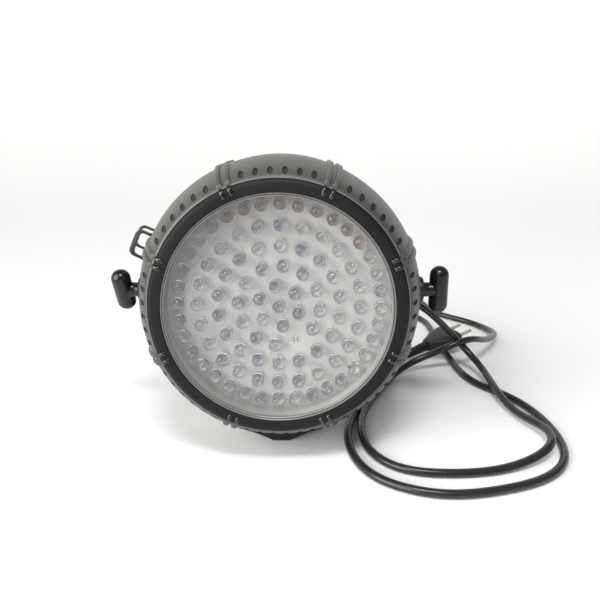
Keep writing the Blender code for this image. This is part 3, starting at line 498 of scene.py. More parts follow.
# --- the lead and its plug -----------------------------------------------------------------------------
def smooth_line(points, samples_each=12):
    """A centripetal Catmull-Rom curve through the points."""
    knots = [points[0] * 2 - points[1]] + points + [points[-1] * 2 - points[-2]]
    line = []
    for p0, p1, p2, p3 in zip(knots, knots[1:], knots[2:], knots[3:]):
        t1 = (p1 - p0).length ** 0.5
        t2 = t1 + (p2 - p1).length ** 0.5
        t3 = t2 + (p3 - p2).length ** 0.5
        for step in range(samples_each):
            t = t1 + (t2 - t1) * step / samples_each
            a1 = p0 * ((t1 - t) / t1) + p1 * (t / t1)
            a2 = p1 * ((t2 - t) / (t2 - t1)) + p2 * ((t - t1) / (t2 - t1))
            a3 = p2 * ((t3 - t) / (t3 - t2)) + p3 * ((t - t2) / (t3 - t2))
            b1 = a1 * ((t2 - t) / t2) + a2 * (t / t2)
            b2 = a2 * ((t3 - t) / (t3 - t1)) + a3 * ((t - t1) / (t3 - t1))
            line.append(b1 * ((t2 - t) / (t2 - t1)) + b2 * ((t - t1) / (t2 - t1)))
    line.append(knots[-2])
    return line


def evenly(line, count):
    travelled = [0.0]
    for first, second in zip(line, line[1:]):
        travelled.append(travelled[-1] + (second - first).length)
    spots, segment = [], 0
    for index in range(count):
        wanted = travelled[-1] * index / (count - 1)
        while segment < len(line) - 2 and travelled[segment + 1] < wanted:
            segment += 1
        part = (wanted - travelled[segment]) / (travelled[segment + 1] - travelled[segment])
        spots.append(line[segment].lerp(line[segment + 1], part))
    return spots


def relaxed(line, passes=14):
    """The line with its kinks eased, as a stiff lead lies. Its ends hold, and it stays above the ground."""
    for _ in range(passes):
        eased = line[:2]
        eased += [
            (before + here * 2 + after) / 4 for before, here, after in zip(line[1:], line[2:], line[3:])
        ]
        line = eased + line[-1:]
        for spot in line:
            spot.z = max(spot.z, CORD_RADIUS + 0.0001)
    return line


def make_cord():
    start_of_relief = PLUG_FACE - PLUG_AXIS * (PLUG_LENGTH + RELIEF_LENGTH + CORD_END_GAP)
    points = [Vector(point) for point in CORD_ROUTE]
    points += [start_of_relief - PLUG_AXIS * 0.009, start_of_relief]
    line = relaxed(evenly(smooth_line(points), 400))
    curve = bpy.data.curves.new("mains_lead", "CURVE")
    curve.dimensions = "3D"
    curve.bevel_depth = CORD_RADIUS
    curve.bevel_resolution = 5
    curve.use_fill_caps = True
    spline = curve.splines.new("POLY")
    spline.points.add(len(line) - 1)
    for point, spot in zip(spline.points, line):
        point.co = (*spot, 1.0)
    spline.use_smooth = True
    curve.materials.append(PAINTS["cord_pvc"])
    lead = bpy.data.objects.new("mains_lead", curve)
    bpy.context.scene.collection.objects.link(lead)
    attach(lead, "head")
    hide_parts("power_cord")
    return lead, line[0]


def plug_matrix():
    across = PLUG_AXIS.cross(Vector((0, 0, 1))).normalized()
    up = across.cross(PLUG_AXIS)
    turn = Matrix((across, PLUG_AXIS, up)).transposed().to_4x4()
    return Matrix.Translation(PLUG_FACE) @ turn


def plug_section(y, half_width, half_height, crease):
    """One ring of the plug's body, with a shallow crease along its parting line."""
    points = []
    for step in range(48):
        angle = math.tau * (step + 0.5) / 48
        c, s = math.cos(angle), math.sin(angle)
        x = half_width * math.copysign(abs(c) ** 0.42, c)
        z = half_height * math.copysign(abs(s) ** 0.62, s)
        pull = 1.0 - crease * math.exp(-((z / 0.0009) ** 2))
        points.append((x * pull, y, z))
    return points


def make_plug():
    matrix = plug_matrix()
    stations = [
        (0.0, 0.0150, 0.0054), (
            -0.0006, 0.0164, 0.0062
        ), (-0.0020, 0.0174, 0.0067), (-0.0060, 0.0176, 0.0068),
        (
            -0.0130, 0.0172, 0.0068
        ), (-0.0190, 0.0160, 0.0068), (-0.0240, 0.0140, 0.0067), (-0.0285, 0.0112, 0.0066),
        (-0.0320, 0.0090, 0.0065), (-0.0350, 0.0076, 0.0063), (-0.0378, 0.0066, 0.0060), (
            -PLUG_LENGTH, 0.0058, 0.0055
        ),
    ]
    rows = [plug_section(y, w, h, 0.025) for y, w, h in stations]
    body = piece(loft(rows), "plug", PAINTS["plug_black"], "head", ["plug_body"], matrix, 40)
    pins = []
    for x in (-0.0093, 0.0093):
        sleeve = [
            (0.0, GAP), (0.0019, GAP), (0.0020, 0.0008), (0.0020, 0.0098), (0.0018, 0.0100), (0.0, 0.0100)
        ]
        tip = [
            (0.0, 0.0100), (0.0018, 0.0100), (0.0018, 0.0172), (0.0016, 0.0181), (0.0010, 0.0188),
            (0.0, 0.0190)
        ]
        pins.append(moved(turned(sleeve, 24, closed=False), Matrix.Translation((x, 0, 0))))
        pins.append(moved(turned(tip, 24, closed=False), Matrix.Translation((x, 0, 0))))
    prongs = joined(pins)
    for face in prongs.faces:
        face.material_index = 1 if face.calc_center_median().y > 0.0101 else 0
    pair = piece(
        prongs, "plug_pins", PAINTS["pin_sleeve"], "head", ["plug_pin_left", "plug_pin_right"],
        matrix
    )
    pair.data.materials.append(PAINTS["bright_steel"])
    outline = [(0.0, -PLUG_LENGTH - GAP)]
    ribs = 6
    for index in range(ribs):
        y = -PLUG_LENGTH - GAP - 0.0004 - index * 0.0044
        radius = 0.0055 - 0.00018 * index
        outline += [
            (radius - 0.0004, y), (radius, y - 0.0005), (radius, y - 0.0026), (radius - 0.0004, y - 0.0031)
        ]
        outline += [(radius - 0.0014, y - 0.0033), (radius - 0.0014, y - 0.0042)]
    outline += [(0.0041, -PLUG_LENGTH - RELIEF_LENGTH + 0.0008), (0.0038, -PLUG_LENGTH - RELIEF_LENGTH)]
    outline += [(0.0, -PLUG_LENGTH - RELIEF_LENGTH)]
    relief = turned(outline, 32, closed=False)
    sleeve = piece(
        relief, "plug_sleeve", PAINTS["plug_black"], "head", ["plug_strain_relief"], matrix, 50
    )
    return [body, pair, sleeve]


lead, exit_point = make_cord()
on_lead = make_plug()


# --- housing -------------------------------------------------------------------------------------------
def shell_radius(y, grow=0.0):
    if y >= SHELL_WIDEST_Y:
        return SHELL_RADIUS + grow
    part = (SHELL_WIDEST_Y - y) / (SHELL_WIDEST_Y - SHELL_LIP_Y)
    swell = (1.0 - part**SHELL_CURVE) ** (1.0 / SHELL_CURVE)
    return SHELL_LIP_RADIUS + (SHELL_RADIUS - SHELL_LIP_RADIUS) * swell + grow


def shell_depths(steps):
    span = SHELL_WIDEST_Y - SHELL_LIP_Y
    return [SHELL_LIP_Y + span * (step / steps) ** 1.6 for step in range(steps + 1)]


def around_ribs(build):
    bodies = []
    for pair in range(RIB_PAIRS):
        for side in (-1, 1):
            bodies.append(about_axis(build(), 360.0 / RIB_PAIRS * (pair + 0.5) + side * RIB_HALF_STEP))
    return bodies


def rib():
    """One rounded rib along the shoulder, at the top of the light. It starts in a blunt nose at the bezel."""
    rows = []
    depths = [SHELL_LIP_Y + 0.0002] + [y + 0.0005 for y in shell_depths(18)] + [SHELL_BACK_Y - 0.0008]
    for place, y in enumerate(depths):
        radius = shell_radius(y)
        rise = 0.0022 * min(1.0, 0.35 + 0.4 * place)
        row = [(-0.0024, y, radius - 0.0014)]
        for step in range(11):
            angle = math.pi * (1 - step / 10)
            across, up = math.cos(angle), math.sin(angle)
            row.append(
                (0.0022 * math.copysign(abs(across) ** 0.8, across), y, radius - 0.0001 + rise * up**0.75)
            )
        row.append((0.0024, y, radius - 0.0014))
        rows.append(row)
    return loft(rows)


def vents():
    """Oval holes along the light's axis, in the sloping shoulder."""
    bodies = []
    radius = shell_radius(VENT_Y)
    for sector in range(RIB_PAIRS):
        for index in range(VENTS_PER_SECTOR):
            step = (index - (VENTS_PER_SECTOR - 1) / 2) * VENT_STEP
            angles = [math.tau * part / 28 for part in range(28)]
            oval = [(VENT_HALF_WIDTH * math.cos(a), radius + VENT_HALF_HEIGHT * math.sin(a)) for a in angles]
            hole = extruded(oval, SHELL_LIP_Y - 0.001, 0.003)
            bodies.append(about_axis(hole, 360.0 / RIB_PAIRS * sector + step))
    return bodies


def make_front_shell():
    outer = [(shell_radius(y), y) for y in shell_depths(26)] + [(SHELL_RADIUS, SHELL_BACK_Y - 0.0006)]
    outer[0] = (SHELL_LIP_RADIUS - 0.0006, SHELL_LIP_Y)
    outer.insert(1, (SHELL_LIP_RADIUS + 0.0004, SHELL_LIP_Y + 0.0001))
    inner = [
        (SHELL_RADIUS - 0.0006, SHELL_BACK_Y),
        (SHELL_RADIUS - WALL, SHELL_BACK_Y),
        (SHELL_RADIUS - WALL, 0.024),
        (shell_radius(0.008) - WALL, 0.008),
        (0.0840, 0.008),
        (0.0840, 0.0045),
        (shell_radius(0.0045) - WALL, 0.0045),
        (shell_radius(-0.007) - WALL, -0.007),
        (0.0946, -0.0140),
        (0.0946, SHELL_LIP_Y),
    ]
    shell = cut(turned(outer + inner), vents())
    bosses = [rod(0.0077, *sorted((side * 0.105, side * 0.1127)), "X", 48, PIVOT_Y) for side in (-1, 1)]
    parts = [shell] + around_ribs(rib) + bosses
    piece(
        joined(parts), "housing_front", PAINTS["grey_shell"], "head", ["front_shell"],
        sharp=32
    )
    # A dark sheet 1.4 mm behind the shell's face closes the vents. Its dark grey is painted shade for the dim
    # inside seen through the holes.
    depths = [-0.0174 + 0.0105 * step / 8 for step in range(9)]
    front = [(shell_radius(y), y + 0.0014) for y in depths]
    back = [(radius, y + 0.0006) for radius, y in reversed(front)]
    piece(turned(front + back), "vent_shade_liner", PAINTS["vent_shade_grey"], "head")


def bezel_bar():
    """A glossy bar that carries a rib on over the bezel, with a rounded top."""
    rows = []
    for radius, front in (
        (0.0902, -0.0222), (0.0906, -0.0228), (0.0916, -0.0233), (0.0952, -0.0233), (0.0968, -0.0222),
        (0.0980, -0.0200), (0.0981, -0.0190)
    ):
        row = [(-0.0016, -0.0188, radius)]
        for step in range(9):
            angle = math.pi * (1 - step / 8)
            across, rise = math.cos(angle), math.sin(angle)
            row.append(
                (
                    0.0016 * math.copysign(abs(across) ** 0.7, across), front + 0.0012 * (1 - rise**0.8),
                    radius
                )
            )
        row.append((0.0016, -0.0188, radius))
        rows.append(row)
    return loft(rows)


def make_bezel():
    outline = [
        (0.0875, -0.0217), (0.0878, -0.0220), (0.0940, -0.0220), (0.0946, -0.0218), (0.0971, -0.0199),
        (0.0974, -0.0195), (0.0974, SHELL_LIP_Y - GAP), (0.0943, SHELL_LIP_Y - GAP), (0.0943, -0.0125),
        (0.0908, -0.0125), (0.0908, -0.0190), (0.0875, -0.0190),
    ]
    piece(turned(outline), "bezel", PAINTS["ring_black"], "head", ["bezel_ring"])
    # A lighter grey bead along the bezel's outer edge: a painted highlight line where the shell's lip meets
    # the ring.
    highlight_bead = [(0.0974, -0.0195), (0.0978, -0.0194), (0.0980, -0.0190), (0.0978, -0.0187), (0.0974, -0.0187)]
    piece(turned(highlight_bead), "bezel_highlight_bead", PAINTS["edge_highlight_grey"], "head")
    bars = joined(around_ribs(bezel_bar))
    piece(bars, "bezel_bars", PAINTS["black_gloss"], "head", sharp=60)


def make_lens():
    outline = [
        (0.0, -0.0200), (
            0.0838, -0.0200
        ), (0.0843, -0.0202), (0.0845, -0.0209), (0.0849, -0.0212), (0.0868, -0.0212),
        (0.0872, -0.0208), (0.0872, -0.0187), (0.0905, -0.0187), (0.0905, -0.0165), (0.0846, -0.0165),
        (0.0840, -0.0175), (0.0, -0.0175),
    ]
    piece(turned(outline, closed=False), "lens_disc", PAINTS["clear_lens"], "head", ["lens"])
    # The two light grey rings at the lens's edge are painted highlight, a bright line along the clear rim. A
    # rubber ring lies between them.
    for name, inner, outer, front, paint in (
        ("lens_rim_outer", 0.0864, 0.0873, -0.0213, "edge_highlight_grey"),
        ("lens_rim_groove", 0.0855, 0.0864, -0.0206, "rubber"),
        ("lens_rim_inner", 0.0848, 0.0855, -0.0210, "edge_highlight_grey"),
    ):
        ring = [
            (inner, front + 0.0002), (inner + 0.0002, front), (outer - 0.0002, front),
            (outer, front + 0.0002)
        ]
        ring += [(outer, -0.0180), (inner, -0.0180)]
        piece(turned(ring), name, PAINTS[paint], "head")
    collar = [(0.0866, -0.0139), (0.0885, -0.0139), (0.0885, 0.0012), (0.0866, 0.0012)]
    piece(turned(collar), "inner_collar", PAINTS["collar_grey"], "head", ["light_collar"])


# --- LEDs ----------------------------------------------------------------------------------------------
def led_places():
    """(ring, index, x, z, clockwise angle in degrees) of each LED."""
    spots = [(-1, 0, 0.0, 0.0, 0.0)]
    for ring, (count, first) in enumerate(LED_RINGS):
        radius = LED_PITCH * (ring + 1)
        for index in range(count):
            if (ring, index) != EMPTY_PLACE:
                angle = first + 360.0 * index / count
                x, z = radius * math.sin(math.radians(angle)), radius * math.cos(math.radians(angle))
                spots.append((ring, index, x, z, angle % 360.0))
    return spots


def led_body():
    """A 10 mm LED's clear case: a flange, a straight side and a dome, with its foot on the board."""
    foot, top = BOARD_FACE_Y - 0.0001, BOARD_FACE_Y - 0.0125
    outline = [
        (0.0, foot), (0.0054, foot), (0.0055, foot - 0.0002), (0.0055, foot - 0.0012),
        (0.0053, foot - 0.0014)
    ]
    outline += [(0.0049, foot - 0.0015), (0.0049, top + 0.0042)]
    for step in range(1, 9):
        angle = math.radians(90.0 * step / 8)
        outline.append((0.0049 * math.cos(angle), top + 0.0042 - 0.0042 * math.sin(angle)))
    outline[-1] = (0.0, outline[-1][1])
    return turned(outline, 28, closed=False)


# A light ring at the outer edge of an LED's flange, painted as its highlight, and the metal cup inside its
# case, as (radius, y)
LED_RIM_HIGHLIGHT = (
    (0.0053, -0.0001), (0.0053, -0.0002), (0.0054, -0.0003), (0.0056, -0.0003), (0.0057, -0.0002),
    (0.0057, 0.0008)
)
LED_CUP = (
    (0.0, -0.0030), (0.0012, -0.0031), (0.0022, -0.0045), (0.0027, -0.0045), (0.0020, -0.0012),
    (0.0, -0.0012)
)


def make_leds():
    board = turned(
        [(0.0, BOARD_FACE_Y), (0.0882, BOARD_FACE_Y), (0.0885, 0.0018), (0.0885, 0.0031), (0.0, 0.0031)],
        closed=False
    )
    piece(board, "board", PAINTS["white_board"], "head", ["led_board"])
    chance = random.Random(7)
    cases, rim_highlights, cups = [], [], {"led_light": [], "led_blue": [], "led_warm": []}
    for ring, index, x, z, angle in led_places():
        tilt = Matrix.Rotation(math.radians(chance.uniform(-3, 3)), 4, "X")
        tilt = tilt @ Matrix.Rotation(math.radians(chance.uniform(-3, 3)), 4, "Z")
        foot = Matrix.Translation((x, 0, z))
        lean = Matrix.Translation((0, BOARD_FACE_Y, 0)) @ tilt @ Matrix.Translation((0, -BOARD_FACE_Y, 0))
        cases.append(moved(led_body(), foot @ lean))
        rim_highlights.append(moved(turned(LED_RIM_HIGHLIGHT, 28), foot @ lean))
        # Cup colours follow areas. More bluish-dark cups towards the left of the inner rings, and warm brown
        # ones along the top of the outer ring, are painted reflection of dark surroundings. The rest stay
        # light grey.
        dark_reflection_chance = 0.7 if x < 0.012 and z < 0.045 and ring < 4 else 0.25
        if ring == 4 and (angle > 325 or angle < 55):
            kind = "led_warm"
        elif chance.random() < dark_reflection_chance:
            kind = "led_blue"
        else:
            kind = "led_light"
        cup = turned(LED_CUP, 20, closed=False)
        cups[kind].append(moved(cup, foot @ lean @ Matrix.Rotation(chance.uniform(0, math.tau), 4, "Y")))
    ring, index = EMPTY_PLACE
    angle = math.radians(LED_RINGS[ring][1] + 360.0 * index / LED_RINGS[ring][0])
    place = Matrix.Translation(
        (LED_PITCH * (ring + 1) * math.sin(angle), 0, LED_PITCH * (ring + 1) * math.cos(angle))
    )
    top = BOARD_FACE_Y - 0.00008
    marks = [turned([(0.0033, top), (0.0035, top), (0.0035, BOARD_FACE_Y), (0.0033, BOARD_FACE_Y)], 48)]
    marks += [
        rod(0.0007, top, BOARD_FACE_Y, "Y", 16, x, z) for x,
        z in ((-0.0013, 0.0009), (0.0013, 0.0009), (-0.0011, -0.0012), (0.0014, -0.0010))
    ]
    piece(moved(joined(marks), place), "empty_place_marks", PAINTS["led_dark"], "head")
    # Light rings on the edges of the flanges: painted highlight for the glints on the clear resin
    piece(joined(rim_highlights), "led_rim_highlights", PAINTS["led_rim_highlight"], "head", sharp=60)
    piece(joined(cases), "led_cases", PAINTS["led_clear"], "head", sharp=50)
    for kind, bodies in cups.items():
        piece(joined(bodies), f"{kind}_cups", PAINTS[kind], "head")


# --- rear ----------------------------------------------------------------------------------------------
def make_rear_shell():
    depth = REAR_PANEL_Y - SHELL_BACK_Y - GAP
    outer, inner = [], []
    for step in range(25):
        angle = math.radians(90.0 * step / 24)
        swell = (SHELL_RADIUS - REAR_PANEL_RADIUS) * math.cos(angle)
        y = SHELL_BACK_Y + GAP + depth * math.sin(angle)
        outer.append((REAR_PANEL_RADIUS + swell, y))
        if step < 16:
            inner.append((REAR_PANEL_RADIUS + swell - WALL, y))
    floor_y = REAR_PANEL_Y - WALL
    outline = [(0.0, REAR_PANEL_Y)] + list(reversed(outer)) + inner + [
        (REAR_PANEL_RADIUS - 0.002, floor_y), (0.0, floor_y)
    ]
    low, high = 0.08, 0.09  # each hole is cut from inside the panel's wall to past its face
    holes = [rod(0.0125, low, high, "Y", 48, *spot) for spot in SOCKET_PLACES]
    holes += [rod(0.0063, low, high, "Y", 32, *spot) for spot in (FUSE_PLACE, GLAND_PLACE)]
    x, z = DISPLAY_CENTRE
    holes.append(block((x - 0.0165, low, z - 0.0085), (x + 0.0165, high, z + 0.0085)))
    holes += [rod(0.0042, low, high, "Y", 24, x, BUTTON_Z) for x in BUTTON_X]
    for column in range(-4, 5):
        x = 0.011 * column
        slot = rounded_box(
            0.0019, (0.014 - abs(column) * 0.002) / 2, 0.0018, (x, -0.067 + abs(column) * 0.001)
        )
        holes.append(extruded(slot, low - 0.01, high))
    shell = cut(turned(outline, closed=False), holes)
    piece(shell, "housing_rear", PAINTS["black_plastic"], "head", ["rear_shell"], sharp=30)


def make_panel():
    low, high = REAR_PANEL_Y + GAP, PANEL_FACE_Y
    window = rounded_box(0.0163, 0.0083, 0.002, DISPLAY_CENTRE)
    cuts = [extruded(window, low - 0.001, high + 0.001)]
    cuts += [rod(0.0040, low - 0.001, high + 0.001, "Y", 32, x, BUTTON_Z) for x in BUTTON_X]
    plate = cut(extruded(rounded_box(0.046, 0.023, 0.004, (0.0, 0.0365)), low, high), cuts)
    piece(plate, "panel_plate", PAINTS["black_gloss"], "head", ["control_panel"], bevel=0.0002)
    pane = extruded(rounded_box(0.0160, 0.0080, 0.0018, DISPLAY_CENTRE), 0.0794, high - 0.0002)
    piece(
        pane, "display_pane", PAINTS["dark_window"], "head", ["display_window"],
        bevel=0.0002
    )
    bars = []
    for digit in range(4):
        middle = DISPLAY_CENTRE[0] + (1.5 - digit) * 0.0066
        for row in (-1, 0, 1):
            bars.append(
                block(
                    (middle - 0.0016, high - 0.0002, DISPLAY_CENTRE[1] + row * 0.0042 - 0.0004),
                    (middle + 0.0016, high - 0.00012, DISPLAY_CENTRE[1] + row * 0.0042 + 0.0004)
                )
            )
        for side in (-1, 1):
            for row in (-1, 1):
                x, z = middle + side * 0.0021, DISPLAY_CENTRE[1] + row * 0.0021
                bars.append(
                    block((x - 0.0004, high - 0.0002, z - 0.0015), (x + 0.0004, high - 0.00012, z + 0.0015))
                )
    piece(joined(bars), "display_segments", PAINTS["led_dark"], "head")
    for name, x in zip(("menu", "down", "up", "enter"), BUTTON_X):
        top = PANEL_FACE_Y + 0.0018
        cap = [(0.0, 0.0802), (0.0046, 0.0802), (0.0046, 0.0818), (0.0036, 0.0818), (0.0036, top - 0.0005)]
        cap += [(0.0035, top - 0.0002), (0.0033, top), (0.0024, top - 0.0001), (0.0, top - 0.0004)]
        matrix = HEAD @ Matrix.Translation((x, 0, BUTTON_Z))
        piece(
            turned(cap, 40, closed=False), f"cap_{name}", PAINTS["black_plastic"], f"button_{name}",
            [f"button_{name}"], matrix
        )


def make_sockets():
    for name, (x, z) in zip(("signal_in", "signal_out"), SOCKET_PLACES):
        flange = extruded(
            rounded_box(0.0130, 0.0155, 0.003, (x, z)), REAR_PANEL_Y + GAP, REAR_PANEL_Y + 0.0024
        )
        body = united(flange, [rod(0.0119, 0.0690, REAR_PANEL_Y + 0.0034, "Y", 48, x, z)])
        screws = [
            rod(0.0014, 0.0872, 0.0900, "Y", 20, x + side * 0.0100, z - side * 0.0125)
            for side in (-1, 1)
        ]
        if name == "signal_in":
            cuts = [rod(0.0098, 0.0740, 0.0950, "Y", 48, x, z)]
        else:
            cuts = [
                rod(0.0014, 0.0740, 0.0950, "Y", 16, x + dx, z + dz) for dx,
                dz in ((-0.0046, 0.0015), (0.0046, 0.0015), (0.0, -0.0048))
            ]
            cuts.append(
                cut(
                    rod(0.0103, 0.0880, 0.0950, "Y", 48, x, z),
                    [rod(0.0097, 0.0870, 0.0960, "Y", 48, x, z)]
                )
            )
        shape = cut(body, cuts + screws)
        piece(
            shape, f"{name}_body", PAINTS["black_steel"], "head", [f"{name}_socket"],
            bevel=0.0002
        )
        heads = [
            turned(
                [(0.0, 0.0872), (0.0013, 0.0872), (0.0013, 0.0880), (0.0008, 0.0883), (0.0, 0.0883)], 20,
                closed=False
            )
            for _ in (0, 1)
        ]
        for side, head in zip((-1, 1), heads):
            moved(head, Matrix.Translation((x + side * 0.0100, 0, z - side * 0.0125)))
        if name == "signal_in":
            for dx, dz in ((-0.0046, -0.0015), (0.0046, -0.0015), (0.0, 0.0048)):
                pin = turned(
                    [(0.0, 0.0735), (0.0011, 0.0735), (0.0011, 0.0832), (0.0007, 0.0839), (0.0, 0.0840)],
                    16, closed=False
                )
                heads.append(moved(pin, Matrix.Translation((x + dx, 0, z + dz))))
        piece(joined(heads), f"{name}_metal", PAINTS["bright_steel"], "head")
    x, z = FUSE_PLACE
    fuse = [
        (0.0, 0.0640), (0.0058, 0.0640), (0.0058, REAR_PANEL_Y + GAP), (0.0082, REAR_PANEL_Y + GAP),
        (0.0082, 0.0878)
    ]
    fuse += [(0.0080, 0.0881), (0.0065, 0.0884), (0.0061, 0.0950), (0.0057, 0.0955), (0.0, 0.0955)]
    slot = block((-0.0045, 0.0945, -0.0005), (0.0045, 0.0965, 0.0005))
    cap = cut(turned(fuse, 48, closed=False), [slot])
    piece(
        cap, "fuse_cap", PAINTS["black_plastic"], "head", ["fuse_holder"],
        HEAD @ Matrix.Translation((x, 0, z))
    )


def make_gland():
    """The gland: a round foot under a tapered sleeve with flexing rings."""
    outline = [
        (0.0037, 0.0740), (0.0060, 0.0740), (0.0060, REAR_PANEL_Y + GAP), (0.0090, REAR_PANEL_Y + GAP),
        (0.0090, 0.0886), (0.0088, 0.0889), (0.0074, 0.0892)
    ]
    rings = 7
    for index in range(rings):
        y = 0.0899 + index * 0.0031
        radius = 0.0073 - index * 0.00037
        outline += [
            (radius, y), (radius, y + 0.0017), (radius - 0.0009, y + 0.0020), (radius - 0.0009, y + 0.0029)
        ]
    outline += [(0.0046, 0.1114), (0.0044, 0.1118), (0.0037, 0.1118)]
    matrix = HEAD @ Matrix.Translation((GLAND_PLACE[0], 0, GLAND_PLACE[1]))
    piece(turned(outline, 48), "gland_sleeve", PAINTS["rubber"], "head", ["cord_gland"], matrix)


def make_screws():
    for index, angle in enumerate((58, 122, 238, 302)):
        x, z = 0.073 * math.sin(math.radians(angle)), 0.073 * math.cos(math.radians(angle))
        dome = [
            (0.0, REAR_PANEL_Y + GAP), (0.0034, REAR_PANEL_Y + GAP), (0.0034, 0.0870), (0.0030, 0.0876),
            (0.0020, 0.0881), (0.0, 0.0882)
        ]
        cross = [
            block((-0.0018, 0.0874, -0.0003), (0.0018, 0.0890, 0.0003)),
            block((-0.0003, 0.0874, -0.0018), (0.0003, 0.0890, 0.0018))
        ]
        head = cut(turned(dome, 32, closed=False), [joined(cross[:1])])
        head = cut(head, cross[1:])
        matrix = HEAD @ Matrix.Translation((x, 0, z)) @ Matrix.Rotation(0.7 * index, 4, "Y")
        piece(
            head, f"screw_head_{index + 1}", PAINTS["bright_steel"], "head", [f"shell_screw_{index + 1}"],
            matrix
        )


def make_foot():
    middle_y = HEAD_PLACE.y + FOOT_Y
    outline = [(0.0110, 0.0023), (0.0195, 0.0064), (0.0240, 0.0082), (0.0360, 0.0120), (0.0360, 0.0300)]
    outline = [(-x, z) for x, z in reversed(outline)] + outline
    envelope = [(0.0, SHELL_LIP_Y)] + [(shell_radius(y, GAP), y) for y in shell_depths(20)]
    envelope += [(SHELL_RADIUS + GAP, SHELL_BACK_Y), (0.0, SHELL_BACK_Y)]
    hollow = moved(turned(envelope, closed=False), HEAD)
    foot = cut(extruded(outline, middle_y - 0.008, middle_y + 0.008), [hollow])
    piece(
        foot, "foot", PAINTS["black_plastic"], "head", ["stand_foot"], Matrix.Identity(4),
        bevel=0.0006
    )
    sole = [(-0.0067, 0.0), (0.0067, 0.0), (0.0104, 0.0020), (-0.0104, 0.0020)]
    pad = extruded(sole, middle_y - 0.008, middle_y + 0.008)
    piece(pad, "sole", PAINTS["rubber"], "head", ["foot_pad"], Matrix.Identity(4), bevel=0.0003)


# --- yokes and knobs -----------------------------------------------------------------------------------
def yoke_line(half_width, straight, steps=96):
    end = math.degrees(math.acos(YOKE_FLAT / half_width))
    bow = arc((0.0, straight), half_width, 0.0, end, steps // 2)
    return [(half_width, 0.0)] + bow + [(-x, out) for x, out in reversed(bow)] + [(-half_width, 0.0)]


def make_yoke(name, angle, inside, straight):
    outer = yoke_line(inside + ARM_THICKNESS, straight)
    inner = yoke_line(inside, straight)
    strap = extruded(outer + list(reversed(inner)), -YOKE_WIDTH / 2, YOKE_WIDTH / 2, "Z")
    sides = ((inside, inside + ARM_THICKNESS), (-inside - ARM_THICKNESS, -inside))
    strap = united(strap, [rod(0.0113, low - 0.00005, high + 0.00005, "X", 48) for low, high in sides])
    holes = [rod(0.0043, low - 0.002, high + 0.002, "X", 32) for low, high in sides]
    reach = straight + inside
    holes += [
        rod(radius, reach - 0.02, reach + 0.02, "Y", 32, x) for radius,
        x in ((0.00525, 0.0), (0.00325, -0.02), (0.00325, 0.02))
    ]
    strap = cut(strap, holes)
    matrix = PIVOT @ Matrix.Rotation(angle, 4, "X")
    piece(strap, f"{name}_strap", PAINTS["black_steel"], name, [name], matrix, bevel=0.0003)


def make_washers():
    for side, word in ((-1, "left"), (1, "right")):
        for name, low, high, paint, rim in (
            ("inner_washer", 0.1154, 0.1160, "white_plastic", 0.0001),
            ("outer_washer", 0.1188, 0.1199, "black_steel", 0.0002),
        ):
            ring = [
                (0.0043, low), (0.0105 - rim, low), (0.0105, low + rim), (0.0105, high - rim),
                (0.0105 - rim, high), (0.0043, high)
            ]
            matrix = PIVOT @ Matrix.Rotation(math.radians(-90 * side), 4, "Z")
            piece(
                turned(ring, 64), f"{name}_{word}_disc", PAINTS[paint], "head", [f"{name}_{word}"],
                matrix
            )


def make_knob(side, turn):
    word = "right" if side > 0 else "left"
    quarter = arc((0.0, 0.0125), 0.008, 0.0, 90.0, 14)
    profile = [(0.0, -0.0205)] + [(r, -z) for r, z in reversed(quarter)][1:] + quarter[:-1] + [(0.0, 0.0205)]
    bar = moved(turned(profile, 64, closed=False), Matrix.Rotation(math.radians(90), 4, "X"))
    moved(bar, Matrix.Translation((0.134, 0, 0)))
    stem = [
        (0.0, 0.1202), (0.0066, 0.1202), (0.0068, 0.1205), (0.0064, 0.1214), (0.0061, 0.1230),
        (0.0061, 0.1255), (0.0066, 0.1275), (0.0072, 0.1300), (0.0, 0.1320)
    ]
    neck = moved(turned(stem, 64, closed=False), Matrix.Rotation(math.radians(-90), 4, "Z"))
    knob = united(neck, [bar])
    if side < 0:
        moved(knob, Matrix.Rotation(math.pi, 4, "Z"))
    matrix = PIVOT @ Matrix.Rotation(turn, 4, "X")
    piece(
        knob, f"{word}_t_knob", PAINTS["knob_black"], f"{word}_knob", [f"knob_{word}"],
        matrix, sharp=40
    )


LOOP_TIP = (-0.1292, 0.0388)
LOOP_SLOPE = math.radians(24.0)
LOOP_RAILS = (  # front, back, thickness at the tip, half height, reach past the tip, rise
    (0.0685, 0.0716, 0.0040, 0.0120, 0.0, 0.0),
    (0.0872, 0.0892, 0.0026, 0.0105, 0.0020, 0.0022),
)


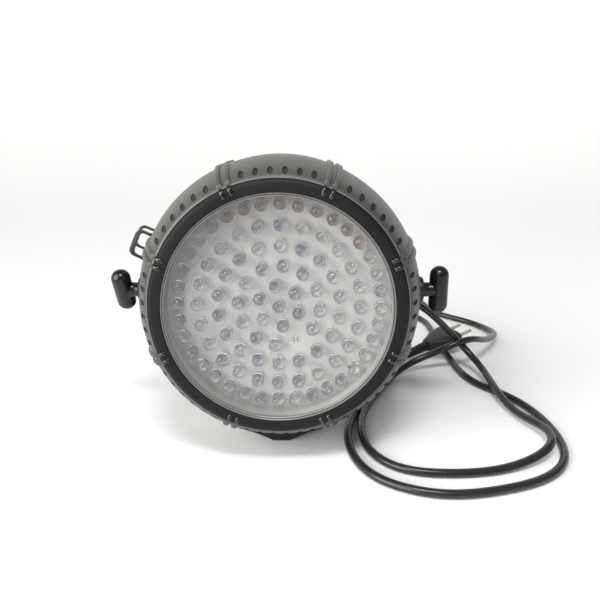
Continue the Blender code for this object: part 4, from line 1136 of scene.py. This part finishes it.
def loop_rail(low, high, thick, half, reach, rise):
    length, leg = 0.026, 0.0021
    outer = [(-length, -0.0150), (-0.011, -half)] + arc((-0.0055, -half + 0.0055), 0.0055, -90, 0, 10)
    outer += arc((-0.0055, half - 0.0055), 0.0055, 0, 90, 10) + [(-0.011, half), (-length, 0.0135)]
    inner_half = half - leg
    inner = [(-length, 0.0105), (-0.013, inner_half)]
    inner += list(reversed(arc((-thick - 0.0035, inner_half - 0.0035), 0.0035, 0, 90, 8)))
    inner += list(
        reversed(arc((-thick - 0.0035, -inner_half + 0.0035), 0.0035, -90, 0, 8))
    ) + [(-0.013, -inner_half), (-length, -0.0120)]
    return extruded([(across + reach, up - rise) for across, up in outer + inner], low, high)


def make_loop():
    bodies = [loop_rail(*rail) for rail in LOOP_RAILS]
    bodies.append(block((-0.026, LOOP_RAILS[0][0], -0.0150), (-0.0165, LOOP_RAILS[1][1], 0.0135)))
    matrix = Matrix.Translation((LOOP_TIP[0], 0, LOOP_TIP[1])) @ Matrix.Rotation(math.pi + LOOP_SLOPE, 4, "Y")
    bodies = [moved(body, matrix) for body in bodies]
    envelope = extruded(yoke_line(HANGING_INSIDE + ARM_THICKNESS + GAP, HANGING_REACH), -0.03, 0.03, "Z")
    moved(envelope, Matrix.Translation((0, PIVOT_Y, 0)) @ Matrix.Rotation(HANGING_ANGLE, 4, "X"))
    loop = cut(united(bodies.pop(), bodies), [envelope])
    piece(
        loop, "cable_loop", PAINTS["black_steel"], "hanging_yoke", ["safety_loop"],
        bevel=0.0005
    )


def paint_the_rest():
    """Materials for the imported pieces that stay: what is inside, and the studs."""
    finishes = {
        "lens_gasket": "rubber",
        "power_supply_board": "green_board",
        "control_board": "green_board",
        "pivot_insert": "brass",
        "board_spacer": "brass",
        "knob_stud": "bright_steel",
    }
    for name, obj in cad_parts.items():
        for start, paint in finishes.items():
            if name.startswith(start):
                obj.data.materials.clear()
                obj.data.materials.append(PAINTS[paint])


make_front_shell()
make_bezel()
make_lens()
make_leds()
make_rear_shell()
make_panel()
make_sockets()
make_gland()
make_screws()
make_foot()
make_yoke("hanging_yoke", HANGING_ANGLE, HANGING_INSIDE, HANGING_REACH)
make_yoke("floor_yoke", FLOOR_ANGLE, FLOOR_INSIDE, FLOOR_REACH)
make_washers()
make_knob(-1, math.radians(30))
make_knob(1, 0.0)
make_loop()
paint_the_rest()
